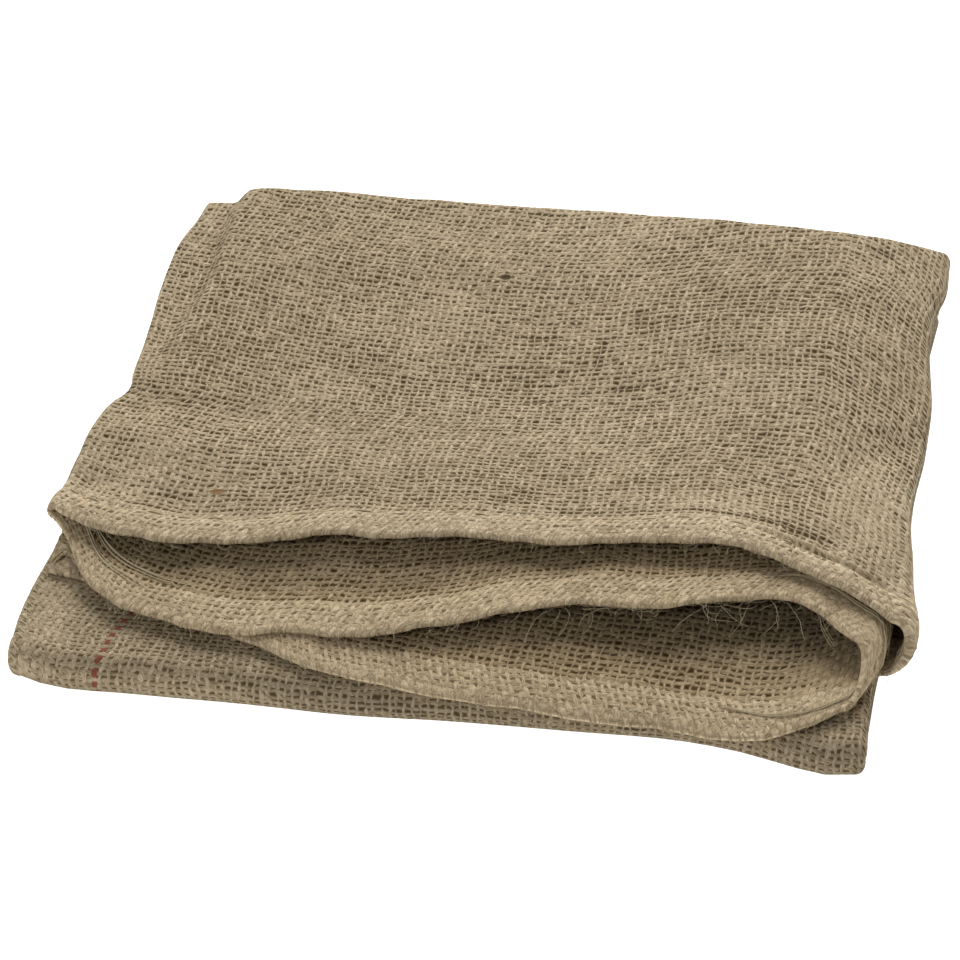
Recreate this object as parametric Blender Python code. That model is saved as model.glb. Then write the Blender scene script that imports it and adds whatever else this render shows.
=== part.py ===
"""A jute sack, folded for storage: in half along its length, then in three across it.

The sack is one tube of plain-woven jute, sewn up one side and across the bottom, with its mouth
hemmed. Lying flat it is 600 mm wide and 900 mm long. Folded, it is a soft pack about 330 mm
square and 35 mm high, of twelve plies of cloth, with its open mouth at the front.

How the pack is laid out (millimetres, x to the right, y to the back, z up from the surface):

* Folding in half brings the mouth's two sides over each other, so a cut across the pack meets
  four plies, named a, b, c and d from the top one down. The outer panel of the sack is ply a,
  the wide turn on the right and ply d. The inner panel is ply b, the narrow turn on the right
  and ply c. The panels meet at the two side seams on the left: a with b, and c with d.
* Folding in three gives an upper section that runs from the mouth to the back fold, a middle
  section that runs forward to the front fold, and a lower section that runs back again to the
  sewn bottom. The order of the plies turns over at each fold.

Every ply's place is worked out from the cloth's level in the stack, the height of one level
(the pitch) and the tables below, so no two plies touch.
"""

import math

import bmesh
import bpy
import numpy as np
from mathutils import Vector

MM = 0.001

# ------------------------------------------------------------------ driving sizes, in mm
CLOTH = 1.2                  # thickness of the woven cloth
HEM_CLOTH = 2.0              # thickness of the hem, which is cloth turned in and pressed
HEM_BAND = 0.068             # share of the upper section that the hem takes up
PLIES_IN_STACK = 12
MIDDLE_OF_PACK = (-8.5, 109.05)   # x, y of the middle of the folded pack, which becomes the origin

# Levels are counted in pitches from the surface. A ply's step is where it lies in its section.
STEP = {"a": 1.5, "b": 0.5, "c": -0.5, "d": -1.5}
UPPER_LEVEL = 9.5
MIDDLE_LEVEL = 5.5
LOWER_LEVEL = 1.5
BACK_FOLD_LEVEL = 7.5
FRONT_FOLD_LEVEL = 3.5
FOLD_RADIUS = 2.0            # in pitches, from a fold's middle to the middle of its section
WIDE_TURN = 1.5              # in pitches, how far the outer panel's turn bulges, below the top
NARROW_TURN = 1.7            # and the inner panel's, which lies inside it

# ------------------------------------------------------------------ how finely it is modelled
PLY_SHARES = (
    0.0, 0.022, 0.048, 0.085, 0.14, 0.22, 0.31, 0.41, 0.51, 0.61, 0.71, 0.80, 0.88, 0.945, 1.0,
)
TURN_ANGLES = (54, 18, -18, -54)
SEAM_ANGLE = 45
FOLD_ANGLES = (60, 30, 0, -30, -60)
UPPER_SHARES = (0.0, 0.032, HEM_BAND, 0.12, 0.19, 0.26, 0.33, 0.42, 0.53, 0.65, 0.78, 0.90, 1.0)
MIDDLE_SHARES = (0.0, 0.12, 0.30, 0.50, 0.70, 0.86, 1.0)
LOWER_SHARES = (0.0, 0.12, 0.36, 0.64, 0.88, 1.0)
BOTTOM_SEAM_REACH = 1.1      # how far the bottom seam stands past the last row, in mm

# The mouth's columns keep to the hem's own x up to the first share of the upper section, and
# from the second on they lead to the x they have at the back fold.
LEAVES_HEM_AT = 0.06
NEARS_FOLD_AT = 0.8


class Table:
    """Stations with named columns, read between stations as one smooth curve."""

    def __init__(self, names, rows):
        values = np.array(rows, float)
        self.at = values[:, 0]
        self.columns = {name: values[:, i] for i, name in enumerate(names)}

    def read(self, name, where):
        """A column's values at the places given, level beyond the first and last stations."""
        at, column = self.at, self.columns[name]
        slopes = np.gradient(column, at)
        where = np.clip(where, at[0], at[-1])
        i = np.clip(np.searchsorted(at, where, side="right") - 1, 0, len(at) - 2)
        span = at[i + 1] - at[i]
        t = (where - at[i]) / span
        rise = column[i + 1] - column[i]
        start, end = slopes[i] * span, slopes[i + 1] * span
        bend = 3 * rise - 2 * start - end + t * (start + end - 2 * rise)
        return column[i] + t * (start + t * bend)


# ------------------------------------------------------------------ tables, in mm
# The mouth's hem: how far forward each ply's hem lies, from the left corner to the right.
HEM = Table(
    ("x", "a", "b", "c", "d"),
    (
        (-158, 18.5, 17.5, -2.0, -13.0),
        (-147, 10.0, 2.5, -5.0, -15.5),
        (-131, 3.0, -20.0, -9.0, -18.0),
        (-119, 1.5, -28.5, -14.0, -20.0),
        (-107, 1.0, -33.0, -19.0, -21.0),
        (-92, 4.5, -36.0, -25.0, -22.0),
        (-76, 8.0, -37.0, -35.0, -24.0),
        (-50, 17.0, -32.0, -43.5, -25.0),
        (-30, 18.0, -30.0, -48.0, -26.0),
        (-12, 22.0, -24.0, -49.5, -26.0),
        (0, 22.8, -19.0, -50.5, -26.0),
        (14, 23.0, -11.0, -50.5, -26.0),
        (29, 23.4, -5.8, -50.0, -26.0),
        (45, 26.0, -1.0, -50.5, -26.0),
        (62, 29.0, 0.0, -50.0, -26.0),
        (82, 31.8, 5.2, -50.5, -26.0),
        (98, 28.6, 10.6, -49.5, -26.0),
        (112, 22.6, 13.2, -44.5, -25.0),
        (124, 17.4, 8.5, -35.0, -22.0),
        (134, 12.0, 0.5, -27.0, -16.0),
        (150, 1.3, -9.0, -14.0, -8.0),
    ),
)

# How far the open mouth lifts each ply above its level in the stack, and how far each hem droops.
MOUTH = Table(
    ("x", "a", "b", "c", "d", "droop_a", "droop_b", "droop_c"),
    (
        (-158, 4.6, 3.0, 0.4, 0.0, 0.0, 0.0, 0.0),
        (-131, 4.4, 0.6, 0.0, 0.0, 0.8, 1.0, 0.0),
        (-92, 3.0, 0.0, 0.0, 0.0, 0.8, 1.2, 0.0),
        (-50, 4.0, 0.3, 0.0, 0.0, 0.5, 0.6, 0.7),
        (0, 6.0, 2.6, 0.0, 0.0, 0.5, 0.4, 1.2),
        (45, 8.9, 4.8, 0.0, 0.0, 0.8, 0.4, 2.0),
        (82, 11.6, 5.7, 0.0, 0.0, 1.3, 0.4, 2.0),
        (112, 12.0, 6.1, 0.0, 0.0, 1.6, 0.6, 1.0),
        (134, 10.4, 5.7, 0.2, 0.0, 1.3, 0.6, 0.6),
        (150, 7.5, 5.0, 0.4, 0.0, 0.5, 0.0, 0.0),
    ),
)
LIFT_FADES = (5.0, 130.0)    # the lift is whole in front of the first y and gone behind the second
DROOP_LENGTH = 13.0

# The upper section's edges, from front to back: where the left seams and the right turns reach,
# how far each turn bulges past its plies, and how wide and deep the step at the left is.
UPPER_EDGE = Table(
    ("y", "seam_ab", "seam_cd", "wide_turn", "wide_bulge", "narrow_turn", "narrow_bulge"),
    (
        (-55, -158.0, -147.0, 152.0, 6.5, 142.0, 4.4),
        (-20, -158.0, -149.0, 152.5, 7.0, 142.5, 4.8),
        (0, -158.0, -149.5, 155.0, 7.5, 143.0, 4.6),
        (12, -158.0, -150.5, 156.0, 7.0, 144.5, 4.0),
        (25, -159.6, -151.5, 153.5, 6.0, 146.0, 3.0),
        (45, -160.3, -152.5, 152.0, 5.0, 147.0, 2.2),
        (68, -160.2, -153.0, 149.5, 4.4, 145.5, 1.5),
        (86, -158.8, -153.0, 149.5, 4.0, 145.5, 1.2),
        (96, -155.3, -152.5, 150.0, 3.8, 146.0, 1.2),
        (108, -156.5, -153.5, 151.0, 3.7, 147.5, 1.2),
        (130, -160.0, -157.0, 151.6, 3.7, 148.0, 1.2),
        (150, -163.5, -160.5, 151.6, 3.7, 148.0, 1.2),
        (172, -167.5, -164.5, 149.5, 3.7, 146.0, 1.2),
        (195, -171.0, -168.0, 147.8, 3.7, 144.2, 1.2),
        (222, -173.5, -171.0, 148.8, 3.7, 145.2, 1.2),
        (242, -172.5, -170.0, 153.0, 3.8, 149.4, 1.2),
        (262, -171.0, -168.5, 151.6, 3.8, 148.0, 1.2),
    ),
)

# The middle and lower sections' edges, from front to back.
LOWER_EDGE = Table(
    ("y", "left", "right"),
    (
        (-56, -144.5, 144.5),
        (-48, -147.8, 146.0),
        (-38, -149.8, 146.0),
        (-24, -151.0, 146.0),
        (0, -151.5, 146.5),
        (60, -152.5, 147.5),
        (130, -157.0, 149.5),
        (190, -163.0, 146.5),
        (230, -168.0, 149.0),
        (262, -170.0, 151.0),
    ),
)

# The middle of the front fold and of the back fold, from left to right.
FOLDS = Table(
    ("x", "front", "back"),
    (
        (-172, -46.0, 251.5),
        (-160, -46.0, 253.5),
        (-150, -47.0, 256.5),
        (-135, -51.0, 257.5),
        (-104, -49.8, 258.5),
        (-60, -46.9, 259.5),
        (-33, -46.0, 261.0),
        (2, -42.0, 263.5),
        (47, -38.3, 266.3),
        (86, -35.6, 267.5),
        (104, -37.0, 267.5),
        (120, -40.5, 266.5),
        (131, -42.5, 265.0),
        (142, -40.3, 262.5),
        (152, -37.5, 258.0),
    ),
)

# The height of one level of the stack, from front to back, at five places across.
PITCH_PLACES = (-165.0, -110.0, -30.0, 60.0, 150.0)
LEFT_SIDE = -150.0           # where the pitch is taken for the seams on the left
RIGHT_SIDE = 145.0           # and for the turns on the right
PITCH = Table(
    ("y", 0, 1, 2, 3, 4),
    (
        (-50, 2.00, 2.00, 1.84, 1.70, 1.85),
        (0, 2.06, 2.08, 2.02, 1.94, 1.98),
        (60, 2.12, 2.22, 2.25, 2.22, 2.12),
        (150, 2.30, 2.42, 2.46, 2.46, 2.30),
        (268, 2.48, 2.60, 2.62, 2.60, 2.50),
    ),
)

# The step down along the left, from front to back: where its foot lies, and how deep it is.
STEP_DOWN = Table(
    ("y", "foot", "depth"),
    (
        (95, -158.0, 0.0),
        (115, -155.0, 1.6),
        (150, -153.0, 4.0),
        (190, -153.5, 5.6),
        (226, -158.5, 6.2),
        (262, -160.5, 6.4),
    ),
)
STEP_RUN = 8.0               # how far the step takes to rise

# Soft ridges (positive) and troughs (negative) across the pack: where each runs from and to,
# how wide it is, and its height at the top ply. Plies below take their share of it.
CREASES = (
    # from x, y      to x, y        width   height
    (-160, 92, -96, 84, 12, -1.8),
    (-150, 62, -70, 56, 26, 1.6),
    (-150, 30, -88, 20, 14, -1.2),
    (-60, 120, 60, 128, 34, -1.0),
    (40, 190, 140, 176, 30, 0.9),
    (-120, 200, -20, 214, 30, 0.8),
    (96, 70, 142, 118, 22, -1.2),
    (128, 40, 150, 150, 16, -0.8),
)

BOTTOM_ENDS_AT = 245.0       # the y of the sewn bottom, inside the back fold


def ease(t):
    """A soft step from 0 to 1."""
    t = np.clip(t, 0.0, 1.0)
    return t * t * (3 - 2 * t)


def mix(low, high, share):
    return low + (high - low) * share


def points(x, y, z):
    """Points from their coordinates, one row each."""
    return np.stack(np.broadcast_arrays(x, y, z), axis=-1).astype(float)


def crease_height(x, y):
    """The sum of the soft ridges and troughs on the top ply."""
    total = 0.0
    for x0, y0, x1, y1, width, height in CREASES:
        run = (x1 - x0) ** 2 + (y1 - y0) ** 2
        along = np.clip(((x - x0) * (x1 - x0) + (y - y0) * (y1 - y0)) / run, 0.0, 1.0)
        away = np.hypot(x - mix(x0, x1, along), y - mix(y0, y1, along))
        total = total + height * np.exp(-((away / (0.5 * width)) ** 2))
    return total


def pitch(x, y):
    """The height of one level of the stack."""
    x, y = np.broadcast_arrays(np.asarray(x, float), np.asarray(y, float))
    at = np.array(PITCH_PLACES)
    i = np.clip(np.searchsorted(at, x, side="right") - 1, 0, len(at) - 2)
    share = ease((x - at[i]) / (at[i + 1] - at[i]))
    across = np.array([PITCH.read(name, y) for name in range(len(at))])
    left, right = (np.take_along_axis(across, j[None], axis=0)[0] for j in (i, i + 1))
    drop = STEP_DOWN.read("depth", y) * ease((STEP_DOWN.read("foot", y) + STEP_RUN - x) / STEP_RUN)
    return mix(left, right, share) + (crease_height(x, y) - drop) / (PLIES_IN_STACK - 1)


def level_height(level, x, y):
    """The height of a ply's middle, from its level in the stack."""
    return 0.5 * CLOTH + level * pitch(x, y)


def upper_edges(ply, y):
    """The left and right ends of a ply of the upper section."""
    seam = "seam_ab" if ply in "ab" else "seam_cd"
    turn = "wide" if ply in "ad" else "narrow"
    left = UPPER_EDGE.read(seam, y) + 0.5 * pitch(LEFT_SIDE, y)
    return left, UPPER_EDGE.read(turn + "_turn", y) - UPPER_EDGE.read(turn + "_bulge", y)


def lower_edges(ply, y):
    """The left and right ends of a ply of the middle or lower section."""
    level = pitch(RIGHT_SIDE, y)
    bulge = WIDE_TURN if ply in "ad" else NARROW_TURN
    return LOWER_EDGE.read("left", y) + 0.5 * level, LOWER_EDGE.read("right", y) - bulge * level


def fold_x(edges, ply, share, name):
    """The x of each column at the middle line of a fold."""
    x = 0.0
    for _ in range(2):
        left, right = edges(ply, FOLDS.read(name, x))
        x = mix(left, right, share)
    return x


def upper_points(ply, share, along):
    """A row of the upper section, from the mouth (0) to the back fold (1)."""
    level = UPPER_LEVEL + STEP[ply]
    left, right = upper_edges(ply, HEM.read(ply, HEM.at[[0, -1]]))
    hem_x = mix(left[0], right[1], share)
    hem_y = HEM.read(ply, hem_x)
    back_x = fold_x(upper_edges, ply, share, "back")
    y = mix(hem_y, FOLDS.read("back", back_x), along)
    left, right = upper_edges(ply, y)
    x = mix(mix(left, right, share), back_x, ease((along - NEARS_FOLD_AT) / (1 - NEARS_FOLD_AT)))
    x = mix(hem_x, x, ease(along / LEAVES_HEM_AT))
    lift = MOUTH.read(ply, x) * ease((LIFT_FADES[1] - y) / (LIFT_FADES[1] - LIFT_FADES[0]))
    past = np.clip(1.0 - (y - hem_y) / DROOP_LENGTH, 0.0, 1.0)
    droop = MOUTH.read("droop_" + ply, x) * past ** 2 if ply != "d" else 0.0
    return points(x, y, level_height(level, x, y) + lift - droop)


def back_fold_points(ply, share, angle):
    """A row of the back fold, from its top (90 degrees) to its underside (-90)."""
    turned = ease((90 - angle) / 180)
    upper_x = fold_x(upper_edges, ply, share, "back")
    x = mix(upper_x, fold_x(lower_edges, ply, share, "back"), turned)
    middle_y = FOLDS.read("back", x)
    radius = (FOLD_RADIUS + STEP[ply]) * pitch(x, middle_y)
    height = level_height(BACK_FOLD_LEVEL, x, middle_y)
    swing = math.radians(angle)
    return points(x, middle_y + radius * math.cos(swing), height + radius * math.sin(swing))


def middle_points(ply, share, along):
    """A row of the middle section, from the back fold (0) to the front fold (1)."""
    back_y = FOLDS.read("back", fold_x(lower_edges, ply, share, "back"))
    front_y = FOLDS.read("front", fold_x(lower_edges, ply, share, "front"))
    y = mix(back_y, front_y, along)
    x = mix(*lower_edges(ply, y), share)
    return points(x, y, level_height(MIDDLE_LEVEL - STEP[ply], x, y))


def front_fold_points(ply, share, angle):
    """A row of the front fold, from its top (90 degrees) to its underside (-90)."""
    x = fold_x(lower_edges, ply, share, "front")
    middle_y = FOLDS.read("front", x)
    radius = (FOLD_RADIUS - STEP[ply]) * pitch(x, middle_y)
    height = level_height(FRONT_FOLD_LEVEL, x, middle_y)
    swing = math.radians(angle)
    return points(x, middle_y - radius * math.cos(swing), height + radius * math.sin(swing))


def lower_points(ply, share, along):
    """A row of the lower section, from the front fold (0) to the sewn bottom (1)."""
    front_x = fold_x(lower_edges, ply, share, "front")
    y = mix(FOLDS.read("front", front_x), BOTTOM_ENDS_AT, along)
    x = mix(*lower_edges(ply, y), share)
    return points(x, y, level_height(LOWER_LEVEL + STEP[ply], x, y))


def rows():
    """The rows of the sack from its mouth to its bottom: which section, and how far along."""
    yield from ((upper_points, share) for share in UPPER_SHARES)
    yield from ((back_fold_points, angle) for angle in FOLD_ANGLES)
    yield from ((middle_points, share) for share in MIDDLE_SHARES)
    yield from ((front_fold_points, angle) for angle in FOLD_ANGLES)
    yield from ((lower_points, share) for share in LOWER_SHARES)


def turn_points(first, second, bulge, angles):
    """Points on the half-round turn from the end of one ply to the end of another."""
    swing = np.radians(angles)[:, None]
    turn = (first + second) / 2 + (first - second) / 2 * np.sin(swing)
    turn[:, 0] += bulge * np.cos(swing[:, 0])
    return turn


def seam_points(upper, lower, sideways, angles):
    """Points on the half-round left edge, where the panels are sewn together."""
    bulge = -abs(upper[0][2] - lower[0][2]) / 2 if sideways else -np.linalg.norm(upper[0] - lower[0]) / 2
    return turn_points(upper[0], lower[0], bulge, angles)


def panel_rows(place, along):
    """One row of each panel: seam, ply, turn on the right, ply, seam."""
    share = np.array(PLY_SHARES)
    a, b, c, d = (place(ply, share, along) for ply in "abcd")
    at_mouth = place is upper_points
    panels = []
    for over, under, turn, lean in ((a, d, "wide", SEAM_ANGLE), (b, c, "narrow", -SEAM_ANGLE)):
        bulge = np.linalg.norm(over[-1] - under[-1]) / 2
        if at_mouth:
            bulge = UPPER_EDGE.read(turn + "_bulge", (over[-1][1] + under[-1][1]) / 2)
        panels.append(np.vstack((
            seam_points(a, b, at_mouth, (0, lean)),
            over,
            turn_points(over[-1], under[-1], bulge, TURN_ANGLES),
            under[::-1],
            seam_points(c, d, at_mouth, (-lean, 0)),
        )))
    return panels


def sack_panels():
    """The outer and the inner panel as grids of points, from the mouth to the sewn bottom."""
    outer, inner = zip(*(panel_rows(place, along) for place, along in rows()))
    seam = (outer[-1] + inner[-1]) / 2 + (0, BOTTOM_SEAM_REACH, 0)
    return np.array(outer + (seam,)), np.array(inner + (seam,))


def add_panel(mesh, panel, hem_group):
    """A grid with a vertex for each point of the panel."""
    along, across = (size - 1 for size in panel.shape[:2])
    grid = bmesh.ops.create_grid(mesh, x_segments=across, y_segments=along, size=0.5)
    hem_rows = sum(share <= HEM_BAND for share in UPPER_SHARES)
    for vertex in grid["verts"]:
        column, row = round((vertex.co.x + 0.5) * across), round((vertex.co.y + 0.5) * along)
        pressed = row < hem_rows and column < across / 2
        vertex[hem_group][0] = float(pressed)
        x, y, z = panel[row][column]
        vertex.co = Vector((x - MIDDLE_OF_PACK[0], y - MIDDLE_OF_PACK[1], z)) * MM


def build_sack(material):
    """The whole sack: two panels, joined at the sides and the bottom and given thickness."""
    mesh = bmesh.new()
    hem_group = mesh.verts.layers.deform.verify()
    for panel in sack_panels():
        add_panel(mesh, panel, hem_group)
    bmesh.ops.remove_doubles(mesh, verts=mesh.verts, dist=1e-6)
    bmesh.ops.recalc_face_normals(mesh, faces=mesh.faces)
    data = bpy.data.meshes.new("sack")
    mesh.to_mesh(data)
    mesh.free()
    sack = bpy.data.objects.new("sack", data)
    bpy.context.scene.collection.objects.link(sack)
    sack.vertex_groups.new(name="hem")
    wall = sack.modifiers.new("cloth", "SOLIDIFY")
    wall.thickness = HEM_CLOTH * MM
    wall.thickness_vertex_group = CLOTH / HEM_CLOTH
    wall.vertex_group = "hem"
    wall.offset = 0.0
    wall.use_even_offset = False
    data.materials.append(material)
    data.shade_smooth()
    return sack


def jute_material():
    """Natural jute: a dull, dry, grey-brown fibre."""
    material = bpy.data.materials.new("jute")
    material.use_nodes = True
    shader = material.node_tree.nodes["Principled BSDF"]
    shader.inputs["Base Color"].default_value = (0.323, 0.251, 0.162, 1.0)
    shader.inputs["Roughness"].default_value = 0.95
    shader.inputs["Metallic"].default_value = 0.0
    return material


def main():
    for leftover in list(bpy.data.objects):
        bpy.data.objects.remove(leftover)
    build_sack(jute_material())


main()
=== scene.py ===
"""A folded jute sack, dressed: its woven cloth with hem and seams, its sewing and its loose fibres.

The sack is folded in half along its length, with that fold on the right, and then in three across
it. Sizes are in millimetres, x to the right, y to the back and z up from the surface, until the
meshes are written in metres. A cut through the pack meets four plies of cloth in each of its three
sections: a, b, c and d from the top one down in the upper section. The outer panel of the sack is
ply a, the wide turn on the right and ply d; the inner panel is ply b, the narrow turn and ply c.
"""

from __future__ import annotations

import logging
import math
import random
from collections.abc import Callable, Iterator
from dataclasses import dataclass, field
from enum import Enum

import bmesh
import bpy
import numpy as np
from mathutils import Matrix, Vector

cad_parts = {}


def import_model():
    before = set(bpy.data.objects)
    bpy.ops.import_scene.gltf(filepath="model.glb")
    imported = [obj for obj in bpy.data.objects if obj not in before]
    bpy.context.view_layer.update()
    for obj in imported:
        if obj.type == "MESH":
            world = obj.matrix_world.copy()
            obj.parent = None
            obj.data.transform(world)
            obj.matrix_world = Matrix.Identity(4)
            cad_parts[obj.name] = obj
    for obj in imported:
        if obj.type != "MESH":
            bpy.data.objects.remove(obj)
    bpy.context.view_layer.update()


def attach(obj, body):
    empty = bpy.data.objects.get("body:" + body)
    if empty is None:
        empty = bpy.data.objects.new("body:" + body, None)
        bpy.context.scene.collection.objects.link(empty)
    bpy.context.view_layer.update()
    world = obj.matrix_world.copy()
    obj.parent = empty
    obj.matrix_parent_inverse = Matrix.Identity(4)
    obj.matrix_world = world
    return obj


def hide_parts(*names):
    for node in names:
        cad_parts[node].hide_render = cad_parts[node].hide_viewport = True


LOG = logging.getLogger("jute_sack")
MM = 0.001
Place = Callable[["Ply", np.ndarray, float], np.ndarray]
Tree = bpy.types.NodeTree
Node = bpy.types.Node
Socket = bpy.types.NodeSocket
Material = bpy.types.Material
Piece = bpy.types.Object


# ------------------------------------------------------------------ the folds, in mm
class Ply(Enum):
    """The four plies of a section, named from the top of the upper section down."""

    A = "a"
    B = "b"
    C = "c"
    D = "d"


class Side(Enum):
    """The two faces of the cloth, by which way they look from inside the sack."""

    OUTSIDE = 1.0
    INSIDE = -1.0


class Table:
    """Stations with named columns, read between stations as one smooth curve."""

    def __init__(self, names: tuple[str, ...], rows: tuple[tuple[float, ...], ...]) -> None:
        """Keep the first column as the stations and the others by name.

        Args:
            names: The columns' names, the stations' first.
            rows: One row for each station.
        """
        values = np.array(rows, float)
        self.at = values[:, 0]
        self.columns = {name: values[:, i] for i, name in enumerate(names)}

    def read(self, name: str, where: np.ndarray | float) -> np.ndarray:
        """Read a column, level beyond the first and last stations.

        Args:
            name: The column's name.
            where: The places to read it at.

        Returns:
            The values at those places.
        """
        at, column = self.at, self.columns[name]
        slopes = np.gradient(column, at)
        where = np.clip(where, at[0], at[-1])
        i = np.clip(np.searchsorted(at, where, side="right") - 1, 0, len(at) - 2)
        span = at[i + 1] - at[i]
        t = (where - at[i]) / span
        rise = column[i + 1] - column[i]
        start, end = slopes[i] * span, slopes[i + 1] * span
        bend = 3 * rise - 2 * start - end + t * (start + end - 2 * rise)
        return column[i] + t * (start + t * bend)


# How far forward each ply's hem lies, from the left corner to the right.
HEM = Table(
    ("x", "a", "b", "c", "d"),
    (
        (-158, 15.0, 15.5, -1.0, -9.5),
        (-147, 6.5, 1.5, -4.0, -12.0),
        (-131, 1.5, -20.0, -9.0, -16.5),
        (-119, 1.5, -28.5, -14.0, -20.0),
        (-107, 1.0, -33.0, -19.0, -21.0),
        (-92, 4.5, -36.0, -25.0, -22.0),
        (-76, 8.0, -37.0, -35.0, -24.0),
        (-50, 17.0, -32.0, -43.5, -25.0),
        (-30, 18.0, -30.0, -48.0, -26.0),
        (-12, 22.0, -24.0, -49.5, -26.0),
        (0, 22.8, -19.0, -50.5, -26.0),
        (14, 23.0, -11.0, -50.5, -26.0),
        (29, 23.4, -5.8, -50.0, -26.0),
        (45, 26.0, -1.0, -50.5, -26.0),
        (62, 29.0, 0.0, -50.0, -26.0),
        (82, 31.8, 5.2, -50.5, -26.0),
        (98, 28.6, 10.6, -51.5, -26.0),
        (112, 22.6, 12.4, -50.0, -25.0),
        (124, 17.4, 7.0, -44.5, -22.0),
        (134, 12.0, -1.0, -38.0, -16.0),
        (150, 1.3, -10.2, -24.0, -8.0),
    ),
)

# How far the open mouth lifts each ply above its level in the stack, and how far each hem droops.
MOUTH = Table(
    ("x", "a", "b", "c", "d", "droop_a", "droop_b", "droop_c"),
    (
        (-158, 4.6, 3.0, 0.4, 0.0, 0.0, 0.0, 0.0),
        (-131, 4.4, 0.6, 0.0, 0.0, 0.8, 1.0, 0.0),
        (-92, 3.0, 0.0, 0.0, 0.0, 0.8, 1.2, 0.0),
        (-50, 4.0, 0.3, 0.0, 0.0, 0.5, 0.6, 0.7),
        (0, 6.0, 2.6, 0.0, 0.0, 0.5, 0.4, 1.2),
        (45, 8.9, 4.8, 0.0, 0.0, 0.8, 0.4, 2.0),
        (82, 11.6, 5.7, 0.0, 0.0, 1.3, 0.4, 2.0),
        (112, 12.0, 6.7, 0.0, 0.0, 1.6, 0.6, 1.0),
        (134, 10.4, 7.0, 0.2, 0.0, 1.3, 0.6, 0.6),
        (150, 7.5, 6.2, 0.4, 0.0, 0.5, 0.0, 0.0),
    ),
)

# How far the upper plies' lips curl towards the front and up.
LIPS = Table(
    ("x", "a", "b"),
    (
        (-158, 0.0, 0.0),
        (-110, 3.0, 0.0),
        (-50, 4.5, 1.0),
        (0, 5.0, 4.2),
        (50, 5.5, 6.5),
        (100, 5.0, 6.8),
        (134, 2.6, 3.6),
        (150, 0.0, 0.0),
    ),
)
LIP_LENGTH = 75.0            # how far back from the hem's edge the lip's curl dies away
PINCH = 6.5                  # how far the narrow turn draws in at the hem's edge
PINCH_START = 108.0          # where across the sack that starts
PINCH_FULL = 150.0           # where it is full
PINCH_LENGTH = 26.0          # how far back it reaches
LIP_WAY = (0.18, -0.80, 0.57)  # which way a lip curls

# How the wefts of the top ply rise towards the back, from left to right.
WEFTS = Table(
    ("x", "rise"),
    (
        (-160, 0.0),
        (-130, -4.0),
        (-100, -9.0),
        (-70, -11.0),
        (-40, -10.5),
        (-10, -8.0),
        (15, -3.0),
        (40, 4.0),
        (70, 13.5),
        (100, 20.0),
        (120, 22.5),
        (150, 22.0),
    ),
)

# The upper section's edges, from front to back: where the left seams and the right turns reach,
# and how far each turn bulges past its plies.
UPPER_EDGE = Table(
    ("y", "seam_ab", "seam_cd", "wide_turn", "wide_bulge", "narrow_turn", "narrow_bulge"),
    (
        (-55, -158.0, -145.0, 152.0, 6.5, 142.0, 4.4),
        (-20, -158.0, -146.5, 152.5, 7.0, 145.5, 4.8),
        (0, -155.0, -147.0, 155.0, 7.5, 147.5, 4.6),
        (12, -154.7, -149.0, 156.0, 7.0, 148.3, 4.0),
        (25, -154.2, -151.5, 153.5, 6.0, 147.6, 3.0),
        (45, -155.8, -152.5, 152.0, 5.0, 147.2, 2.2),
        (68, -157.6, -153.0, 149.5, 4.4, 145.5, 1.5),
        (86, -156.7, -153.0, 149.5, 4.0, 145.5, 1.2),
        (96, -153.8, -152.0, 150.0, 3.8, 146.0, 1.2),
        (108, -156.5, -153.5, 151.0, 3.7, 147.5, 1.2),
        (130, -160.0, -157.0, 151.6, 3.7, 148.0, 1.2),
        (150, -163.5, -160.5, 151.6, 3.7, 148.0, 1.2),
        (172, -167.5, -164.5, 149.5, 3.7, 146.0, 1.2),
        (195, -171.0, -168.0, 147.8, 3.7, 144.2, 1.2),
        (222, -173.5, -171.0, 148.8, 3.7, 145.2, 1.2),
        (242, -172.5, -170.0, 153.0, 3.8, 149.4, 1.2),
        (262, -171.0, -168.5, 151.6, 3.8, 148.0, 1.2),
    ),
)

# The middle and lower sections' edges, from front to back.
LOWER_EDGE = Table(
    ("y", "left", "right"),
    (
        (-56, -144.5, 143.5),
        (-48, -147.8, 144.8),
        (-38, -149.8, 144.2),
        (-24, -151.0, 143.8),
        (0, -151.5, 144.5),
        (60, -152.5, 147.5),
        (130, -157.0, 149.5),
        (190, -163.0, 146.5),
        (230, -168.0, 149.0),
        (262, -170.0, 151.0),
    ),
)

# The middle of the front fold and of the back fold, from left to right.
FOLDS = Table(
    ("x", "front", "back"),
    (
        (-172, -46.0, 251.5),
        (-160, -46.0, 253.5),
        (-150, -47.0, 256.5),
        (-135, -51.0, 257.5),
        (-104, -49.8, 258.5),
        (-60, -46.9, 259.5),
        (-33, -46.0, 261.0),
        (2, -42.0, 263.5),
        (47, -38.3, 266.3),
        (86, -35.6, 267.5),
        (104, -37.0, 267.5),
        (120, -40.5, 266.5),
        (131, -42.5, 265.0),
        (142, -40.3, 262.5),
        (152, -37.5, 258.0),
    ),
)

# The height of one level of the stack, from front to back, at five places across.
PITCH_PLACES = (-165.0, -110.0, -30.0, 60.0, 150.0)
PITCH = Table(
    ("y", "0", "1", "2", "3", "4"),
    (
        (-50, 2.00, 2.00, 1.84, 1.70, 1.85),
        (0, 2.06, 2.08, 2.02, 1.94, 1.98),
        (60, 2.12, 2.22, 2.25, 2.22, 2.12),
        (150, 2.30, 2.42, 2.46, 2.46, 2.30),
        (268, 2.48, 2.60, 2.62, 2.60, 2.50),
    ),
)

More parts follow.
